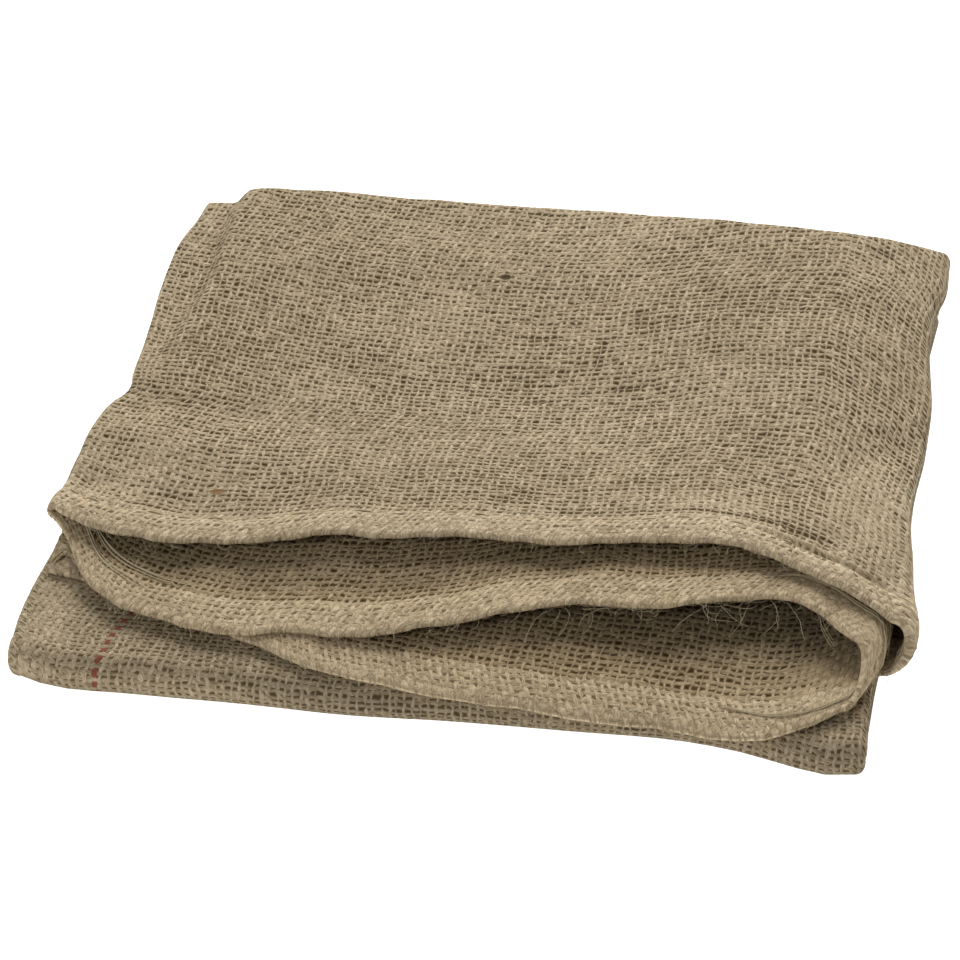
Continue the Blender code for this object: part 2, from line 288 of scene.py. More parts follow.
# The step down along the left, from front to back: where its foot lies, and how deep it is.
STEP_DOWN = Table(
    ("y", "foot", "depth"),
    (
        (95, -158.0, 0.0),
        (115, -155.0, 1.6),
        (150, -153.0, 4.0),
        (190, -153.5, 5.6),
        (226, -158.5, 6.2),
        (262, -160.5, 6.4),
    ),
)

# How far the lower corners of the hem puff out at the left seam, ply by ply.
SEAM_PUFFS = Table(
    ("y", "c", "d"),
    (
        (-24, 0.0, -0.5),
        (-17, 0.0, 0.6),
        (-11, 1.2, 2.6),
        (-7, 2.2, 2.6),
        (-2, -1.8, -2.2),
        (3, 2.8, 1.0),
        (8, 1.8, 1.4),
        (14, 0.0, 0.0),
    ),
)
SEAM_PUFF_REACH = 12.0       # how far in from the seam the puffs die away

# The groove behind the hem of the top ply: how deep it is from left to right.
GROOVE = Table(
    ("x", "depth"),
    ((-160, 0.5), (-60, 0.2), (60, 0.2), (92, 0.3), (104, 1.5), (138, 1.9), (146, 0.8), (152, 0.0)),
)
GROOVE_LINE = 13.0           # how far from the hem's edge it lies
GROOVE_WIDTH = 1.9           # half its width

# Places where the yarns have parted (positive) or are beaten close together (negative).
MARKS = (
    # ply, x, y, half across, half along, lean, opens
    ("a", 22.4, 150.0, 1.8, 13.0, 0.0, 0.14),
    ("a", 36.0, 132.0, 7.5, 1.1, 0.0, 0.24),
    ("a", -6.0, 160.0, 8.0, 1.0, 0.0, 0.26),
    ("a", 3.0, 116.0, 6.0, 1.0, 0.1, 0.26),
    ("a", 116.0, 39.0, 12.0, 1.3, 0.32, 0.24),
    ("a", 95.0, 45.5, 27.0, 1.4, 0.05, 0.22),
    ("a", 124.0, 257.0, 7.0, 1.2, 0.0, 0.30),
    ("a", -118.0, 17.0, 11.0, 0.9, 0.0, 0.30),
    ("a", 141.0, 45.0, 22.0, 46.0, 0.0, -0.08),
    ("a", -138.0, 46.0, 20.0, 34.0, 0.0, -0.06),
    ("a", 60.0, 50.0, 46.0, 7.0, 0.0, -0.05),
    ("b", 146.0, 12.0, 34.0, 34.0, 0.0, -0.20),
)

# Specks caught in the cloth of the top ply.
SPECKS = (
    # x, y, half across, half along, colour
    (-27.6, 201.3, 2.2, 1.7, "463a26"),
    (-98.5, 30.6, 3.0, 1.4, "7f6243"),
)

# Loose long threads that lie along the bands of the inner panel.
LOOSE_THREADS = (
    # side, across from, to, along from, to, bow, how many
    (1, 5.0, 66.0, 26.0, 18.0, -1.5, 3),
    (1, 12.0, 52.0, 17.0, 12.0, 0.5, 2),
    (1, 276.0, 322.0, 12.0, 14.0, 1.0, 2),
    (-1, 322.0, 372.0, 6.0, 12.0, -2.0, 2),
)

# Soft ridges (positive) and troughs (negative) across the pack.
CREASES = (
    # from x, y      to x, y        width   height
    (-160, 92, -96, 84, 15, -1.0),
    (-150, 62, -70, 56, 26, 1.6),
    (-150, 30, -88, 20, 14, -1.2),
    (-60, 120, 60, 128, 34, -1.0),
    (40, 190, 140, 176, 30, 0.9),
    (-120, 200, -20, 214, 30, 0.8),
    (96, 70, 142, 118, 22, -1.2),
    (128, 40, 150, 150, 16, -0.8),
)

# Small waves of the cloth: their lengths across and along, height and start, all plies alike.
WAVES = (
    # across, along, height, start
    (61.0, 43.0, 0.16, 0.4),
    (-37.0, 52.0, 0.13, 2.1),
    (24.0, -31.0, 0.09, 4.0),
    (-17.0, 19.0, 0.06, 1.2),
)
WAVES_FULL_AT = 30.0         # the height at which they are full

# Waves of a hem's free edge: length, how far forward and back, up and down, and start.
EDGE_WAVES = (
    # length, forward, up, start
    (47.0, 0.55, 0.35, 0.3),
    (23.0, 0.40, 0.28, 1.9),
    (12.5, 0.30, 0.22, 4.2),
)
EDGE_WAVE_REACH = 26.0       # how far back from the hem's edge its waves die away
EDGE_WAVE_SHIFT = 1.7        # how much later each ply's waves start than the one's above
EDGE_WAVE_LAG = 0.8          # how far the waves up and down run ahead of those forward and back
EDGE_WAVE_RISE = {"a": 1.0, "b": 0.6, "c": 0.3, "d": 0.0}

# The front fold's rows, from its top down, between which painted shade darkens its front and then
# its rim.
FRONT_SHADE_ROWS = (0, 3)
RIM_SHADE_ROWS = (4, 7)


def ease(t: np.ndarray | float) -> np.ndarray:
    """Take a soft step from 0 to 1."""
    t = np.clip(t, 0.0, 1.0)
    return t * t * (3 - 2 * t)


def mix(low: np.ndarray | float, high: np.ndarray | float, share: np.ndarray | float) -> np.ndarray:
    """Go a share of the way from low to high."""
    return low + (high - low) * share


def points(x: np.ndarray, y: np.ndarray, z: np.ndarray) -> np.ndarray:
    """Stack coordinates into points, one row each."""
    return np.stack(np.broadcast_arrays(x, y, z), axis=-1).astype(float)


def into_scene(name: str, data: bpy.types.ID) -> Piece:
    """Make an object of its data and put it in the scene.

    Args:
        name: The object's name.
        data: The mesh, curve, light or camera it shows.

    Returns:
        The object.
    """
    thing = bpy.data.objects.new(name, data)
    bpy.context.scene.collection.objects.link(thing)
    return thing


@dataclass(frozen=True)
class Stack:
    """The levels of the stack of plies, counted in pitches from the surface."""

    cloth: float = 1.2
    plies: int = 12
    upper: float = 9.5
    middle: float = 5.5
    lower: float = 1.5
    back_fold: float = 7.5
    front_fold: float = 3.5
    fold_radius: float = 2.0
    wide_turn: float = 1.5
    narrow_turn: float = 1.7
    step_run: float = 8.0
    left_side: float = -150.0
    right_side: float = 145.0

    @staticmethod
    def step(ply: Ply) -> float:
        """Give a ply's level above the middle of its section."""
        return {Ply.A: 1.5, Ply.B: 0.5, Ply.C: -0.5, Ply.D: -1.5}[ply]

    @staticmethod
    def crease_height(x: np.ndarray, y: np.ndarray) -> np.ndarray:
        """Sum the soft ridges and troughs on the top ply.

        Args:
            x: The places across.
            y: The places towards the back.

        Returns:
            The height to add at each place.
        """
        total = 0.0
        for x0, y0, x1, y1, width, height in CREASES:
            run = (x1 - x0) ** 2 + (y1 - y0) ** 2
            along = np.clip(((x - x0) * (x1 - x0) + (y - y0) * (y1 - y0)) / run, 0.0, 1.0)
            away = np.hypot(x - mix(x0, x1, along), y - mix(y0, y1, along))
            total = total + height * np.exp(-((away / (0.5 * width)) ** 2))
        return total

    def pitch(self, x: np.ndarray | float, y: np.ndarray | float) -> np.ndarray:
        """Work out the height of one level of the stack at a place.

        Args:
            x: The places across.
            y: The places towards the back.

        Returns:
            The height of one level there.
        """
        x, y = np.broadcast_arrays(np.asarray(x, float), np.asarray(y, float))
        at = np.array(PITCH_PLACES)
        i = np.clip(np.searchsorted(at, x, side="right") - 1, 0, len(at) - 2)
        share = ease((x - at[i]) / (at[i + 1] - at[i]))
        across = np.array([PITCH.read(str(place), y) for place in range(len(at))])
        left, right = (np.take_along_axis(across, j[None], axis=0)[0] for j in (i, i + 1))
        foot = STEP_DOWN.read("foot", y)
        drop = STEP_DOWN.read("depth", y) * ease((foot + self.step_run - x) / self.step_run)
        return mix(left, right, share) + (self.crease_height(x, y) - drop) / (self.plies - 1)

    def height(self, level: float, x: np.ndarray, y: np.ndarray) -> np.ndarray:
        """Work out the height of a ply's middle from its level."""
        return 0.5 * self.cloth + level * self.pitch(x, y)


@dataclass(frozen=True)
class Folding:
    """Where every point of the cloth lies once the sack is folded."""

    stack: Stack = field(default_factory=Stack)
    lift_fades: tuple[float, float] = (5.0, 130.0)
    droop_length: float = 13.0
    leaves_hem_at: float = 0.06
    nears_fold_at: float = 0.8
    length: float = 262.0
    bottom_ends_at: float = 245.0
    bottom_seam_reach: float = 1.1

    def upper_edges(self, ply: Ply, y: np.ndarray) -> tuple[np.ndarray, np.ndarray]:
        """Find the left and right ends of a ply of the upper section.

        Args:
            ply: The ply.
            y: The places towards the back.

        Returns:
            The x of the left ends and of the right ends.
        """
        seam = "seam_ab" if ply in (Ply.A, Ply.B) else "seam_cd"
        turn = "wide" if ply in (Ply.A, Ply.D) else "narrow"
        left = UPPER_EDGE.read(seam, y) + 0.5 * self.stack.pitch(self.stack.left_side, y)
        return left, UPPER_EDGE.read(turn + "_turn", y) - UPPER_EDGE.read(turn + "_bulge", y)

    def lower_edges(self, ply: Ply, y: np.ndarray) -> tuple[np.ndarray, np.ndarray]:
        """Find the left and right ends of a ply of the middle or lower section.

        Args:
            ply: The ply.
            y: The places towards the back.

        Returns:
            The x of the left ends and of the right ends.
        """
        level = self.stack.pitch(self.stack.right_side, y)
        bulge = self.stack.wide_turn if ply in (Ply.A, Ply.D) else self.stack.narrow_turn
        left = LOWER_EDGE.read("left", y) + 0.5 * level
        return left, LOWER_EDGE.read("right", y) - bulge * level

    @staticmethod
    def fold_x(edges: Callable, ply: Ply, share: np.ndarray, fold: str) -> np.ndarray:
        """Find the x of each column at the middle line of a fold.

        Args:
            edges: The method that gives a ply's two ends at a y.
            ply: The ply.
            share: How far across the ply each column lies.
            fold: The fold's column in the table of folds.

        Returns:
            The x of each column.
        """
        x = 0.0
        for _ in range(2):
            left, right = edges(ply, FOLDS.read(fold, x))
            x = mix(left, right, share)
        return x

    def upper(self, ply: Ply, share: np.ndarray, along: float) -> np.ndarray:
        """Place a row of the upper section, from the mouth to the back fold.

        Args:
            ply: The ply.
            share: How far across the ply each column lies.
            along: 0 at the mouth and 1 at the back fold.

        Returns:
            The row's points.
        """
        name = ply.value
        level = self.stack.upper + self.stack.step(ply)
        left, right = self.upper_edges(ply, HEM.read(name, HEM.at[[0, -1]]))
        hem_x = mix(left[0], right[1], share)
        hem_y = HEM.read(name, hem_x)
        back_x = self.fold_x(self.upper_edges, ply, share, "back")
        y = mix(hem_y, FOLDS.read("back", back_x), along)
        left, right = self.upper_edges(ply, y)
        to_fold = ease((along - self.nears_fold_at) / (1 - self.nears_fold_at))
        x = mix(mix(left, right, share), back_x, to_fold)
        x = mix(hem_x, x, ease(along / self.leaves_hem_at))
        front, rear = self.lift_fades
        lift = MOUTH.read(name, x) * ease((rear - y) / (rear - front))
        past = np.clip(1.0 - (y - hem_y) / self.droop_length, 0.0, 1.0)
        droop = MOUTH.read("droop_" + name, x) * past ** 2 if ply is not Ply.D else 0.0
        forward, up = self.edge_waves(ply, x, y - hem_y)
        z = self.stack.height(level, x, y) + lift - droop + up
        if ply in (Ply.A, Ply.B):
            curl = LIPS.read(name, x) * np.clip(1.0 - (y - hem_y) / LIP_LENGTH, 0.0, 1.0) ** 2
            x, y, z = (c + curl * way for c, way in zip((x, y, z), LIP_WAY))
        if ply is Ply.A:
            off = (along * self.length - GROOVE_LINE) / GROOVE_WIDTH
            z = z - GROOVE.read("depth", x) * np.exp(-(off ** 2))
        if ply in (Ply.B, Ply.C):
            near = np.clip(1.0 - (y - hem_y) / PINCH_LENGTH, 0.0, 1.0) ** 2
            x = x - PINCH * near * ease((x - PINCH_START) / (PINCH_FULL - PINCH_START))
        return points(x, y + forward, z)

    @staticmethod
    def edge_waves(ply: Ply, x: np.ndarray, back: np.ndarray) -> tuple[np.ndarray, np.ndarray]:
        """Work out how far a hem's own waves move the cloth near its edge.

        Args:
            ply: The ply, whose waves start at their own places.
            x: The places across.
            back: How far behind the hem's edge they lie.

        Returns:
            The moves forward and up.
        """
        fade = np.clip(1.0 - back / EDGE_WAVE_REACH, 0.0, 1.0) ** 2
        own = EDGE_WAVE_SHIFT * "abcd".index(ply.value)
        forward, up = 0.0, 0.0
        for length, reach, rise, start in EDGE_WAVES:
            turn = 2 * math.pi * x / length + start + own
            forward = forward + reach * np.sin(turn)
            up = up + rise * np.cos(turn + EDGE_WAVE_LAG)
        return forward * fade, up * fade * EDGE_WAVE_RISE[ply.value]

    def back_fold(self, ply: Ply, share: np.ndarray, angle: float) -> np.ndarray:
        """Place a row of the back fold.

        Args:
            ply: The ply.
            share: How far across the ply each column lies.
            angle: 90 degrees at the fold's top and -90 at its underside.

        Returns:
            The row's points.
        """
        turned = ease((90 - angle) / 180)
        upper_x = self.fold_x(self.upper_edges, ply, share, "back")
        x = mix(upper_x, self.fold_x(self.lower_edges, ply, share, "back"), turned)
        middle_y = FOLDS.read("back", x)
        radius = (self.stack.fold_radius + self.stack.step(ply)) * self.stack.pitch(x, middle_y)
        height = self.stack.height(self.stack.back_fold, x, middle_y)
        swing = math.radians(angle)
        return points(x, middle_y + radius * math.cos(swing), height + radius * math.sin(swing))

    def middle(self, ply: Ply, share: np.ndarray, along: float) -> np.ndarray:
        """Place a row of the middle section, from the back fold to the front fold.

        Args:
            ply: The ply.
            share: How far across the ply each column lies.
            along: 0 at the back fold and 1 at the front fold.

        Returns:
            The row's points.
        """
        back_y = FOLDS.read("back", self.fold_x(self.lower_edges, ply, share, "back"))
        front_y = FOLDS.read("front", self.fold_x(self.lower_edges, ply, share, "front"))
        y = mix(back_y, front_y, along)
        x = mix(*self.lower_edges(ply, y), share)
        return points(x, y, self.stack.height(self.stack.middle - self.stack.step(ply), x, y))

    def front_fold(self, ply: Ply, share: np.ndarray, angle: float) -> np.ndarray:
        """Place a row of the front fold.

        Args:
            ply: The ply.
            share: How far across the ply each column lies.
            angle: 90 degrees at the fold's top and -90 at its underside.

        Returns:
            The row's points.
        """
        x = self.fold_x(self.lower_edges, ply, share, "front")
        middle_y = FOLDS.read("front", x)
        radius = (self.stack.fold_radius - self.stack.step(ply)) * self.stack.pitch(x, middle_y)
        height = self.stack.height(self.stack.front_fold, x, middle_y)
        swing = math.radians(angle)
        return points(x, middle_y - radius * math.cos(swing), height + radius * math.sin(swing))

    def lower(self, ply: Ply, share: np.ndarray, along: float) -> np.ndarray:
        """Place a row of the lower section, from the front fold to the sewn bottom.

        Args:
            ply: The ply.
            share: How far across the ply each column lies.
            along: 0 at the front fold and 1 at the bottom.

        Returns:
            The row's points.
        """
        front_x = self.fold_x(self.lower_edges, ply, share, "front")
        y = mix(FOLDS.read("front", front_x), self.bottom_ends_at, along)
        x = mix(*self.lower_edges(ply, y), share)
        return points(x, y, self.stack.height(self.stack.lower + self.stack.step(ply), x, y))


# ------------------------------------------------------------------ the cloth as two panels
@dataclass
class Panel:
    """One panel of the sack as a grid of points, from its mouth to its bottom."""

    places: np.ndarray
    across: np.ndarray
    along: np.ndarray
    yarns: np.ndarray
    thick: np.ndarray
    facing: float

    def spot(self, across: float, along: float, side: Side, lift: float) -> Vector:
        """Find a place on or above the cloth.

        Args:
            across: How far from the left seam, along the weft.
            along: How far from the mouth, along the warp.
            side: The face of the cloth.
            lift: How far off that face.

        Returns:
            The place, in metres in the frame's own axes.
        """
        column = np.interp(across, self.across, np.arange(len(self.across)))
        row = np.interp(along, self.along[:, round(column)], np.arange(len(self.along)))
        i, j = min(int(row), len(self.places) - 2), min(int(column), len(self.across) - 2)
        s, t = row - i, column - j
        square = self.places[i : i + 2, j : j + 2]
        down, right = square[1] - square[0], square[:, 1] - square[:, 0]
        normal = np.cross(mix(right[0], right[1], s), mix(down[0], down[1], t))
        lift += self.thick[i, j] / 2
        normal *= self.facing * side.value * lift / max(np.linalg.norm(normal), 1e-9)
        place = mix(mix(square[0, 0], square[0, 1], t), mix(square[1, 0], square[1, 1], t), s)
        if along < 0.0:
            place = place + mix(down[0], down[1], t) * along / np.linalg.norm(down[0])
        return Vector(place + normal) * MM


Panels = tuple[Panel, Panel]


@dataclass
class SackCloth:
    """The woven cloth: two panels, one fold and one seam at the sides, sewn across the bottom."""

    folding: Folding = field(default_factory=Folding)
    thickness: float = 1.3
    hem_width: float = 17.0
    hem_end: float = 0.6
    stitch_line: float = 14.0
    row_step: float = 3.2
    long_columns: int = 132
    short_columns: int = 32
    turn_step: int = 15
    seam_step: int = 30
    blend_columns: int = 8
    centre: tuple[float, float] = (-8.5, 109.05)
    inner_start: float = 1000.0
    warp_lean: float = 0.05
    weft_shift: float = 14.0
    weft_stretch: float = 0.00045
    weft_arch: float = 0.45
    weft_fade: tuple[float, float] = (150.0, 45.0)
    stripe_shear: float = 0.28
    stripe_foot: float = -48.0
    stripe_drawn: tuple[float, float] = (-3.0, 9.0)
    stripe_corner: tuple[float, float] = (-70.0, 35.0)
    hem_slant: float = 0.42
    lower_crowding: float = 0.35
    lower_start: float = 480.0
    turn_roll: dict[Ply, float] = field(default_factory=lambda: {Ply.A: 2.4, Ply.B: 0.8})
    flat: tuple[float, float] = (1.2, 0.9)
    hem_thickness: dict[Ply, float] = field(
        default_factory=lambda: {Ply.A: 2.7, Ply.B: 2.3, Ply.C: 1.8, Ply.D: 1.3}
    )
    middle_rows: tuple[float, ...] = (
        0.0, 0.12, 0.26, 0.40, 0.54, 0.66, 0.75, 0.81, 0.85, 0.88, 0.91, 0.94, 0.97, 1.0,
    )
    lower_rows: tuple[float, ...] = (0.0, 0.04, 0.12, 0.26, 0.45, 0.66, 0.86, 1.0)

    @property
    def seam_points(self) -> int:
        """Count the points on a seam's half-round edge."""
        return len(range(0, 90, self.seam_step))

    def hem_rows(self) -> list[tuple[float, float]]:
        """List the hem's rows from its edge to its stitches.

        Returns:
            How far from the edge each row lies, and how fully the hem is pressed thick there.
        """
        groove = self.stitch_line
        lip = [(0.0, -0.2), (0.35, 0.35), (0.9, 0.75), (1.8, 0.95)]
        band = [(4.2, 1.1), (6.8, 1.1), (9.6, 1.0), (groove - 1.4, 0.7)]
        end = self.hem_width
        inner = [(groove, 0.0), (groove + 1.3, 0.3), (end, 0.3), (end + self.hem_end, 0.0)]
        return lip + band + inner

    def rows(self) -> Iterator[tuple[Place, float, float]]:
        """List every row of the cloth from mouth to bottom.

        Yields:
            The method that places the row, how far along it is, and how pressed the hem is there.
        """
        fold = self.folding
        for back, press in self.hem_rows():
            yield fold.upper, back / self.folding.length, press
        first = self.hem_width + self.hem_end
        count = round((self.folding.length - first) / self.row_step)
        for i in range(1, count + 1):
            yield fold.upper, mix(first, self.folding.length, i / count) / self.folding.length, 0.0
        angles = range(90 - self.turn_step, -90, -self.turn_step)
        yield from ((fold.back_fold, angle, 0.0) for angle in angles)
        yield from ((fold.middle, share, 0.0) for share in self.middle_rows)
        yield from ((fold.front_fold, angle, 0.0) for angle in angles)
        yield from ((fold.lower, share, 0.0) for share in self.lower_rows)

    def panel_rows(self, place: Place, along: float) -> list[np.ndarray]:
        """Place one row of each panel: seam, ply, turn on the right, ply, seam.

        Args:
            place: The method that places a ply's row.
            along: How far along its section the row is.

        Returns:
            The row of the outer panel and the row of the inner panel.
        """
        counts = (self.long_columns, self.long_columns, self.short_columns, self.short_columns)
        plies = {
            ply: place(ply, np.linspace(0.0, 1.0, count), along)
            for ply, count in zip(Ply, counts)
        }
        for ply, row in plies.items():
            row[:, 2] += self.waves(row)
            if ply in (Ply.C, Ply.D) and place == self.folding.upper:
                near = ease(1.0 - (row[:, 0] - row[0, 0]) / SEAM_PUFF_REACH)
                row[:, 0] -= SEAM_PUFFS.read(ply.value, row[0, 1]) * near
        at_mouth = place == self.folding.upper
        left = plies[Ply.A][0], plies[Ply.B][0]
        sewn = plies[Ply.C][0], plies[Ply.D][0]
        turns = np.arange(90 - self.turn_step, -90, -self.turn_step)
        leans = np.arange(0, 90, self.seam_step)
        panels = []
        for over, under, turn, lean in ((Ply.A, Ply.D, "wide", 1), (Ply.B, Ply.C, "narrow", -1)):
            first, last = plies[over][-1], plies[under][-1]
            bulge = np.linalg.norm(first - last) / 2
            if at_mouth:
                bulge = UPPER_EDGE.read(turn + "_bulge", (first[1] + last[1]) / 2)
            parts = (
                self.seam(*left, at_mouth, lean * leans),
                plies[over],
                self.turn(first, last, bulge, turns),
                plies[under][::-1],
                self.seam(*sewn, at_mouth, -lean * leans[::-1]),
            )
            panels.append(np.vstack(parts))
        return panels

    @staticmethod
    def waves(row: np.ndarray) -> np.ndarray:
        """Add up the cloth's small waves, which die away towards the surface it lies on.

        Args:
            row: The row's points.

        Returns:
            The height to add to each point.
        """
        fade = np.clip(row[:, 2] / WAVES_FULL_AT, 0.0, 1.0)
        total = 0.0
        for across, along, height, start in WAVES:
            turn = 2 * math.pi * (row[:, 0] / across + row[:, 1] / along) + start
            total = total + height * np.sin(turn)
        return total * fade

    @staticmethod
    def turn(first: np.ndarray, second: np.ndarray, bulge: float, angles: np.ndarray) -> np.ndarray:
        """Place points on the half-round turn from the end of one ply to the end of another.

        Args:
            first: The first ply's end.
            second: The second ply's end.
            bulge: How far the turn stands out to the right.
            angles: Where the points lie on it, in degrees from 90 to -90.

        Returns:
            The turn's points.
        """
        swing = np.radians(angles)[:, None]
        turn = (first + second) / 2 + (first - second) / 2 * np.sin(swing)
        turn[:, 0] += bulge * np.cos(swing[:, 0])
        return turn

    def seam(
        self, upper: np.ndarray, lower: np.ndarray, at_mouth: bool, angles: np.ndarray
    ) -> np.ndarray:
        """Place points on the half-round left edge, where the panels meet.

        Args:
            upper: The upper ply's end.
            lower: The lower ply's end.
            at_mouth: Whether the row is in the upper section.
            angles: Where the points lie on it, in degrees.

        Returns:
            The edge's points.
        """
        apart = abs(upper[2] - lower[2]) if at_mouth else np.linalg.norm(upper - lower)
        return self.turn(upper, lower, -apart / 2, angles)

    def panels(self) -> Panels:
        """Place the outer and the inner panel, and measure both along the yarns.

        Returns:
            The outer and the inner panel.
        """
        grids = [self.panel_rows(place, along) for place, along, _ in self.rows()]
        outer, inner = (np.array(rows) for rows in zip(*grids))
        sewn = (outer[-1] + inner[-1]) / 2 + (0, self.folding.bottom_seam_reach, 0)
        panels = []
        for grid, facing, start in ((outer, 1.0, 0.0), (inner, -1.0, self.inner_start)):
            grid = np.concatenate((grid, sewn[None]))
            grid[..., 2] = np.maximum(grid[..., 2], self.thickness / 2)
            right = np.linalg.norm(np.diff(grid, axis=1), axis=2).mean(axis=0)
            across = start + np.concatenate(([0.0], np.cumsum(right)))
            along = self.lengths_down(grid)
            slant = self.hem_slant * np.maximum(self.hem_width - along, 0.0)
            yarns = np.stack((across[None] + slant, along), axis=-1)
            if start == 0.0:
                yarns = yarns + self.yarn_moves(grid)
            plies = (Ply.A, Ply.D) if start == 0.0 else (Ply.B, Ply.C)
            thick = self.thicknesses(grid, *plies)
            panels.append(Panel(grid - (*self.centre, 0.0), across, along, yarns, thick, facing))
        return panels[0], panels[1]

    def yarn_moves(self, grid: np.ndarray) -> np.ndarray:
        """Work out how the outer panel's yarns lie off its rows and columns.

        The warps lean to the right on their way back, and by the lower fold's left corner more
        so. The top ply's wefts arch, and stand further apart towards the back. Further on, by
        the lower fold, they lie closer together.

        Args:
            grid: The panel's points.

        Returns:
            The moves across and along for each point.
        """
        shares = [along if place == self.folding.upper else 1.0 for place, along, _ in self.rows()]
        to_fold = np.array(shares + [1.0])[:, None]
        x = grid[..., 0]
        straight = mix(HEM.read("a", x), FOLDS.read("back", x), to_fold)
        off = straight - WEFTS.read("rise", x)
        top = slice(0, self.seam_points + self.long_columns)
        off = off - off[:, top].mean(axis=1, keepdims=True)
        off = np.clip(off, -self.weft_shift, self.weft_shift)
        start, run = self.weft_fade
        fade = ease(to_fold / self.weft_arch) * ease((start - x) / run)
        fade[:, top.stop :] = 0.0
        lean = -self.warp_lean * self.folding.length * to_fold
        drawn = np.clip(self.stripe_shear * (grid[..., 1] - self.stripe_foot), *self.stripe_drawn)
        start, run = self.stripe_corner
        corner = ease((start - x) / run) * (to_fold == 1.0)
        corner[:, : top.stop] = 0.0
        stretch = -self.weft_stretch * (self.folding.length * to_fold) ** 2
        further = np.maximum(self.lengths_down(grid) - self.lower_start, 0.0)
        stretch = stretch + self.lower_crowding * further
        return np.stack((lean + drawn * corner, off * fade + stretch), axis=-1)

    def front_fold_along(self, panel: Panel) -> np.ndarray:
        """Find how far along the yarns each row of the front fold lies, on its outermost ply.

        Args:
            panel: The outer panel.

        Returns:
            One length for each row, in metres.
        """
        is_fold = np.array([place == self.folding.front_fold for place, _, _ in self.rows()])
        return panel.yarns[: len(is_fold)][is_fold][:, -self.short_columns, 1] * MM

    def yarns_at(self, panel: Panel, ply: Ply, x: float, y: float) -> tuple[float, float]:
        """Find where a place on the upper section's ply lies among the yarns.

        Args:
            panel: The panel the ply belongs to.
            ply: Ply A or B.
            x: The place across the sack.
            y: The place towards the back.

        Returns:
            The place across and along the yarns, in metres.
        """
        rows = slice(0, sum(place == self.folding.upper for place, _, _ in self.rows()))
        columns = slice(0, self.seam_points + self.long_columns + 90 // self.turn_step)
        places = panel.places[rows, columns, :2] + self.centre
        away = np.hypot(places[..., 0] - x, places[..., 1] - y)
        nearest = np.unravel_index(away.argmin(), away.shape)
        across, along = panel.yarns[rows, columns][nearest] * MM
        return float(across), float(along)

    def lengths_down(self, grid: np.ndarray) -> np.ndarray:
        """Measure every column from the hem down, evened out within each ply.

        Args:
            grid: A panel's points.

        Returns:
            How far down the yarns each point lies.
        """
        down = np.linalg.norm(np.diff(grid, axis=0), axis=2)
        ends = self.seam_points
        over = down[:, ends : ends + self.long_columns].mean(axis=1)
        under = down[:, -ends - self.short_columns : -ends].mean(axis=1)
        columns = np.arange(grid.shape[1])
        first = ends + self.long_columns - self.blend_columns
        last = grid.shape[1] - ends - self.short_columns + self.blend_columns // 2
        share = ease((columns - first) / (last - first))
        step = mix(over[:, None], under[:, None], share)
        return np.vstack((np.zeros(grid.shape[1]), np.cumsum(step, axis=0)))

    def thicknesses(self, grid: np.ndarray, over: Ply, under: Ply) -> np.ndarray:
        """Work out how thick the cloth is at each point of a panel.

        Args:
            grid: The panel's points.
            over: The ply on its left half.
            under: The ply on its right half, past the turn.

        Returns:
            One thickness for each point.
        """
        rows, columns = grid.shape[:2]
        press = np.zeros(rows)
        press[:-1] = [press for _, _, press in self.rows()]
        ends = self.seam_points
        turn_starts = ends + self.long_columns
        turn_ends = columns - ends - self.short_columns
        share = ease((np.arange(columns) - turn_starts) / (turn_ends - turn_starts))
        hem = mix(self.hem_thickness[over], self.hem_thickness[under], share)
        hem = hem + self.turn_roll[over] * np.sin(math.pi * share)
        return self.thickness + press[:, None] * (hem - self.thickness)[None]

    def add_panel(self, mesh: bmesh.types.BMesh, panel: Panel, greatest: float) -> None:
        """Add a grid with a vertex for each point of the panel.

        Args:
            mesh: The mesh that takes the grid.
            panel: The panel.
            greatest: The thickest cloth of the sack.
        """
        group = mesh.verts.layers.deform.verify()
        yarns = mesh.loops.layers.uv.verify()
        along, across = (size - 1 for size in panel.places.shape[:2])
        grid = bmesh.ops.create_grid(mesh, x_segments=across, y_segments=along, size=0.5)
        for vertex in grid["verts"]:
            column, row = round((vertex.co.x + 0.5) * across), round((vertex.co.y + 0.5) * along)
            vertex[group][0] = panel.thick[row, column] / greatest
            vertex.co = Vector(panel.places[row, column]) * MM
            yarn = panel.yarns[row, column] * MM
            for loop in vertex.link_loops:
                loop[yarns].uv = yarn

    def build(self, panels: Panels, material: Material) -> Piece:
        """Make the cloth as one sheet with its thickness.

        Args:
            panels: The outer and the inner panel.
            material: The woven finish.

        Returns:
            The cloth's object.
        """
        mesh = bmesh.new()
        mesh.verts.layers.deform.verify()
        mesh.loops.layers.uv.verify()
        greatest = max(panel.thick.max() for panel in panels)
        for panel in panels:
            self.add_panel(mesh, panel, greatest)
        bmesh.ops.remove_doubles(mesh, verts=mesh.verts, dist=1e-6)
        bmesh.ops.recalc_face_normals(mesh, faces=mesh.faces)
        data = bpy.data.meshes.new("sack_cloth")
        mesh.to_mesh(data)
        mesh.free()
        data.uv_layers[0].name = YARNS
        data.materials.append(material)
        data.shade_smooth()
        cloth = into_scene("sack_cloth", data)
        cloth.vertex_groups.new(name="thickness")
        wall = cloth.modifiers.new("cloth", "SOLIDIFY")
        wall.thickness = greatest * MM
        wall.vertex_group = "thickness"
        wall.offset = 0.0
        wall.use_even_offset = False
        return cloth


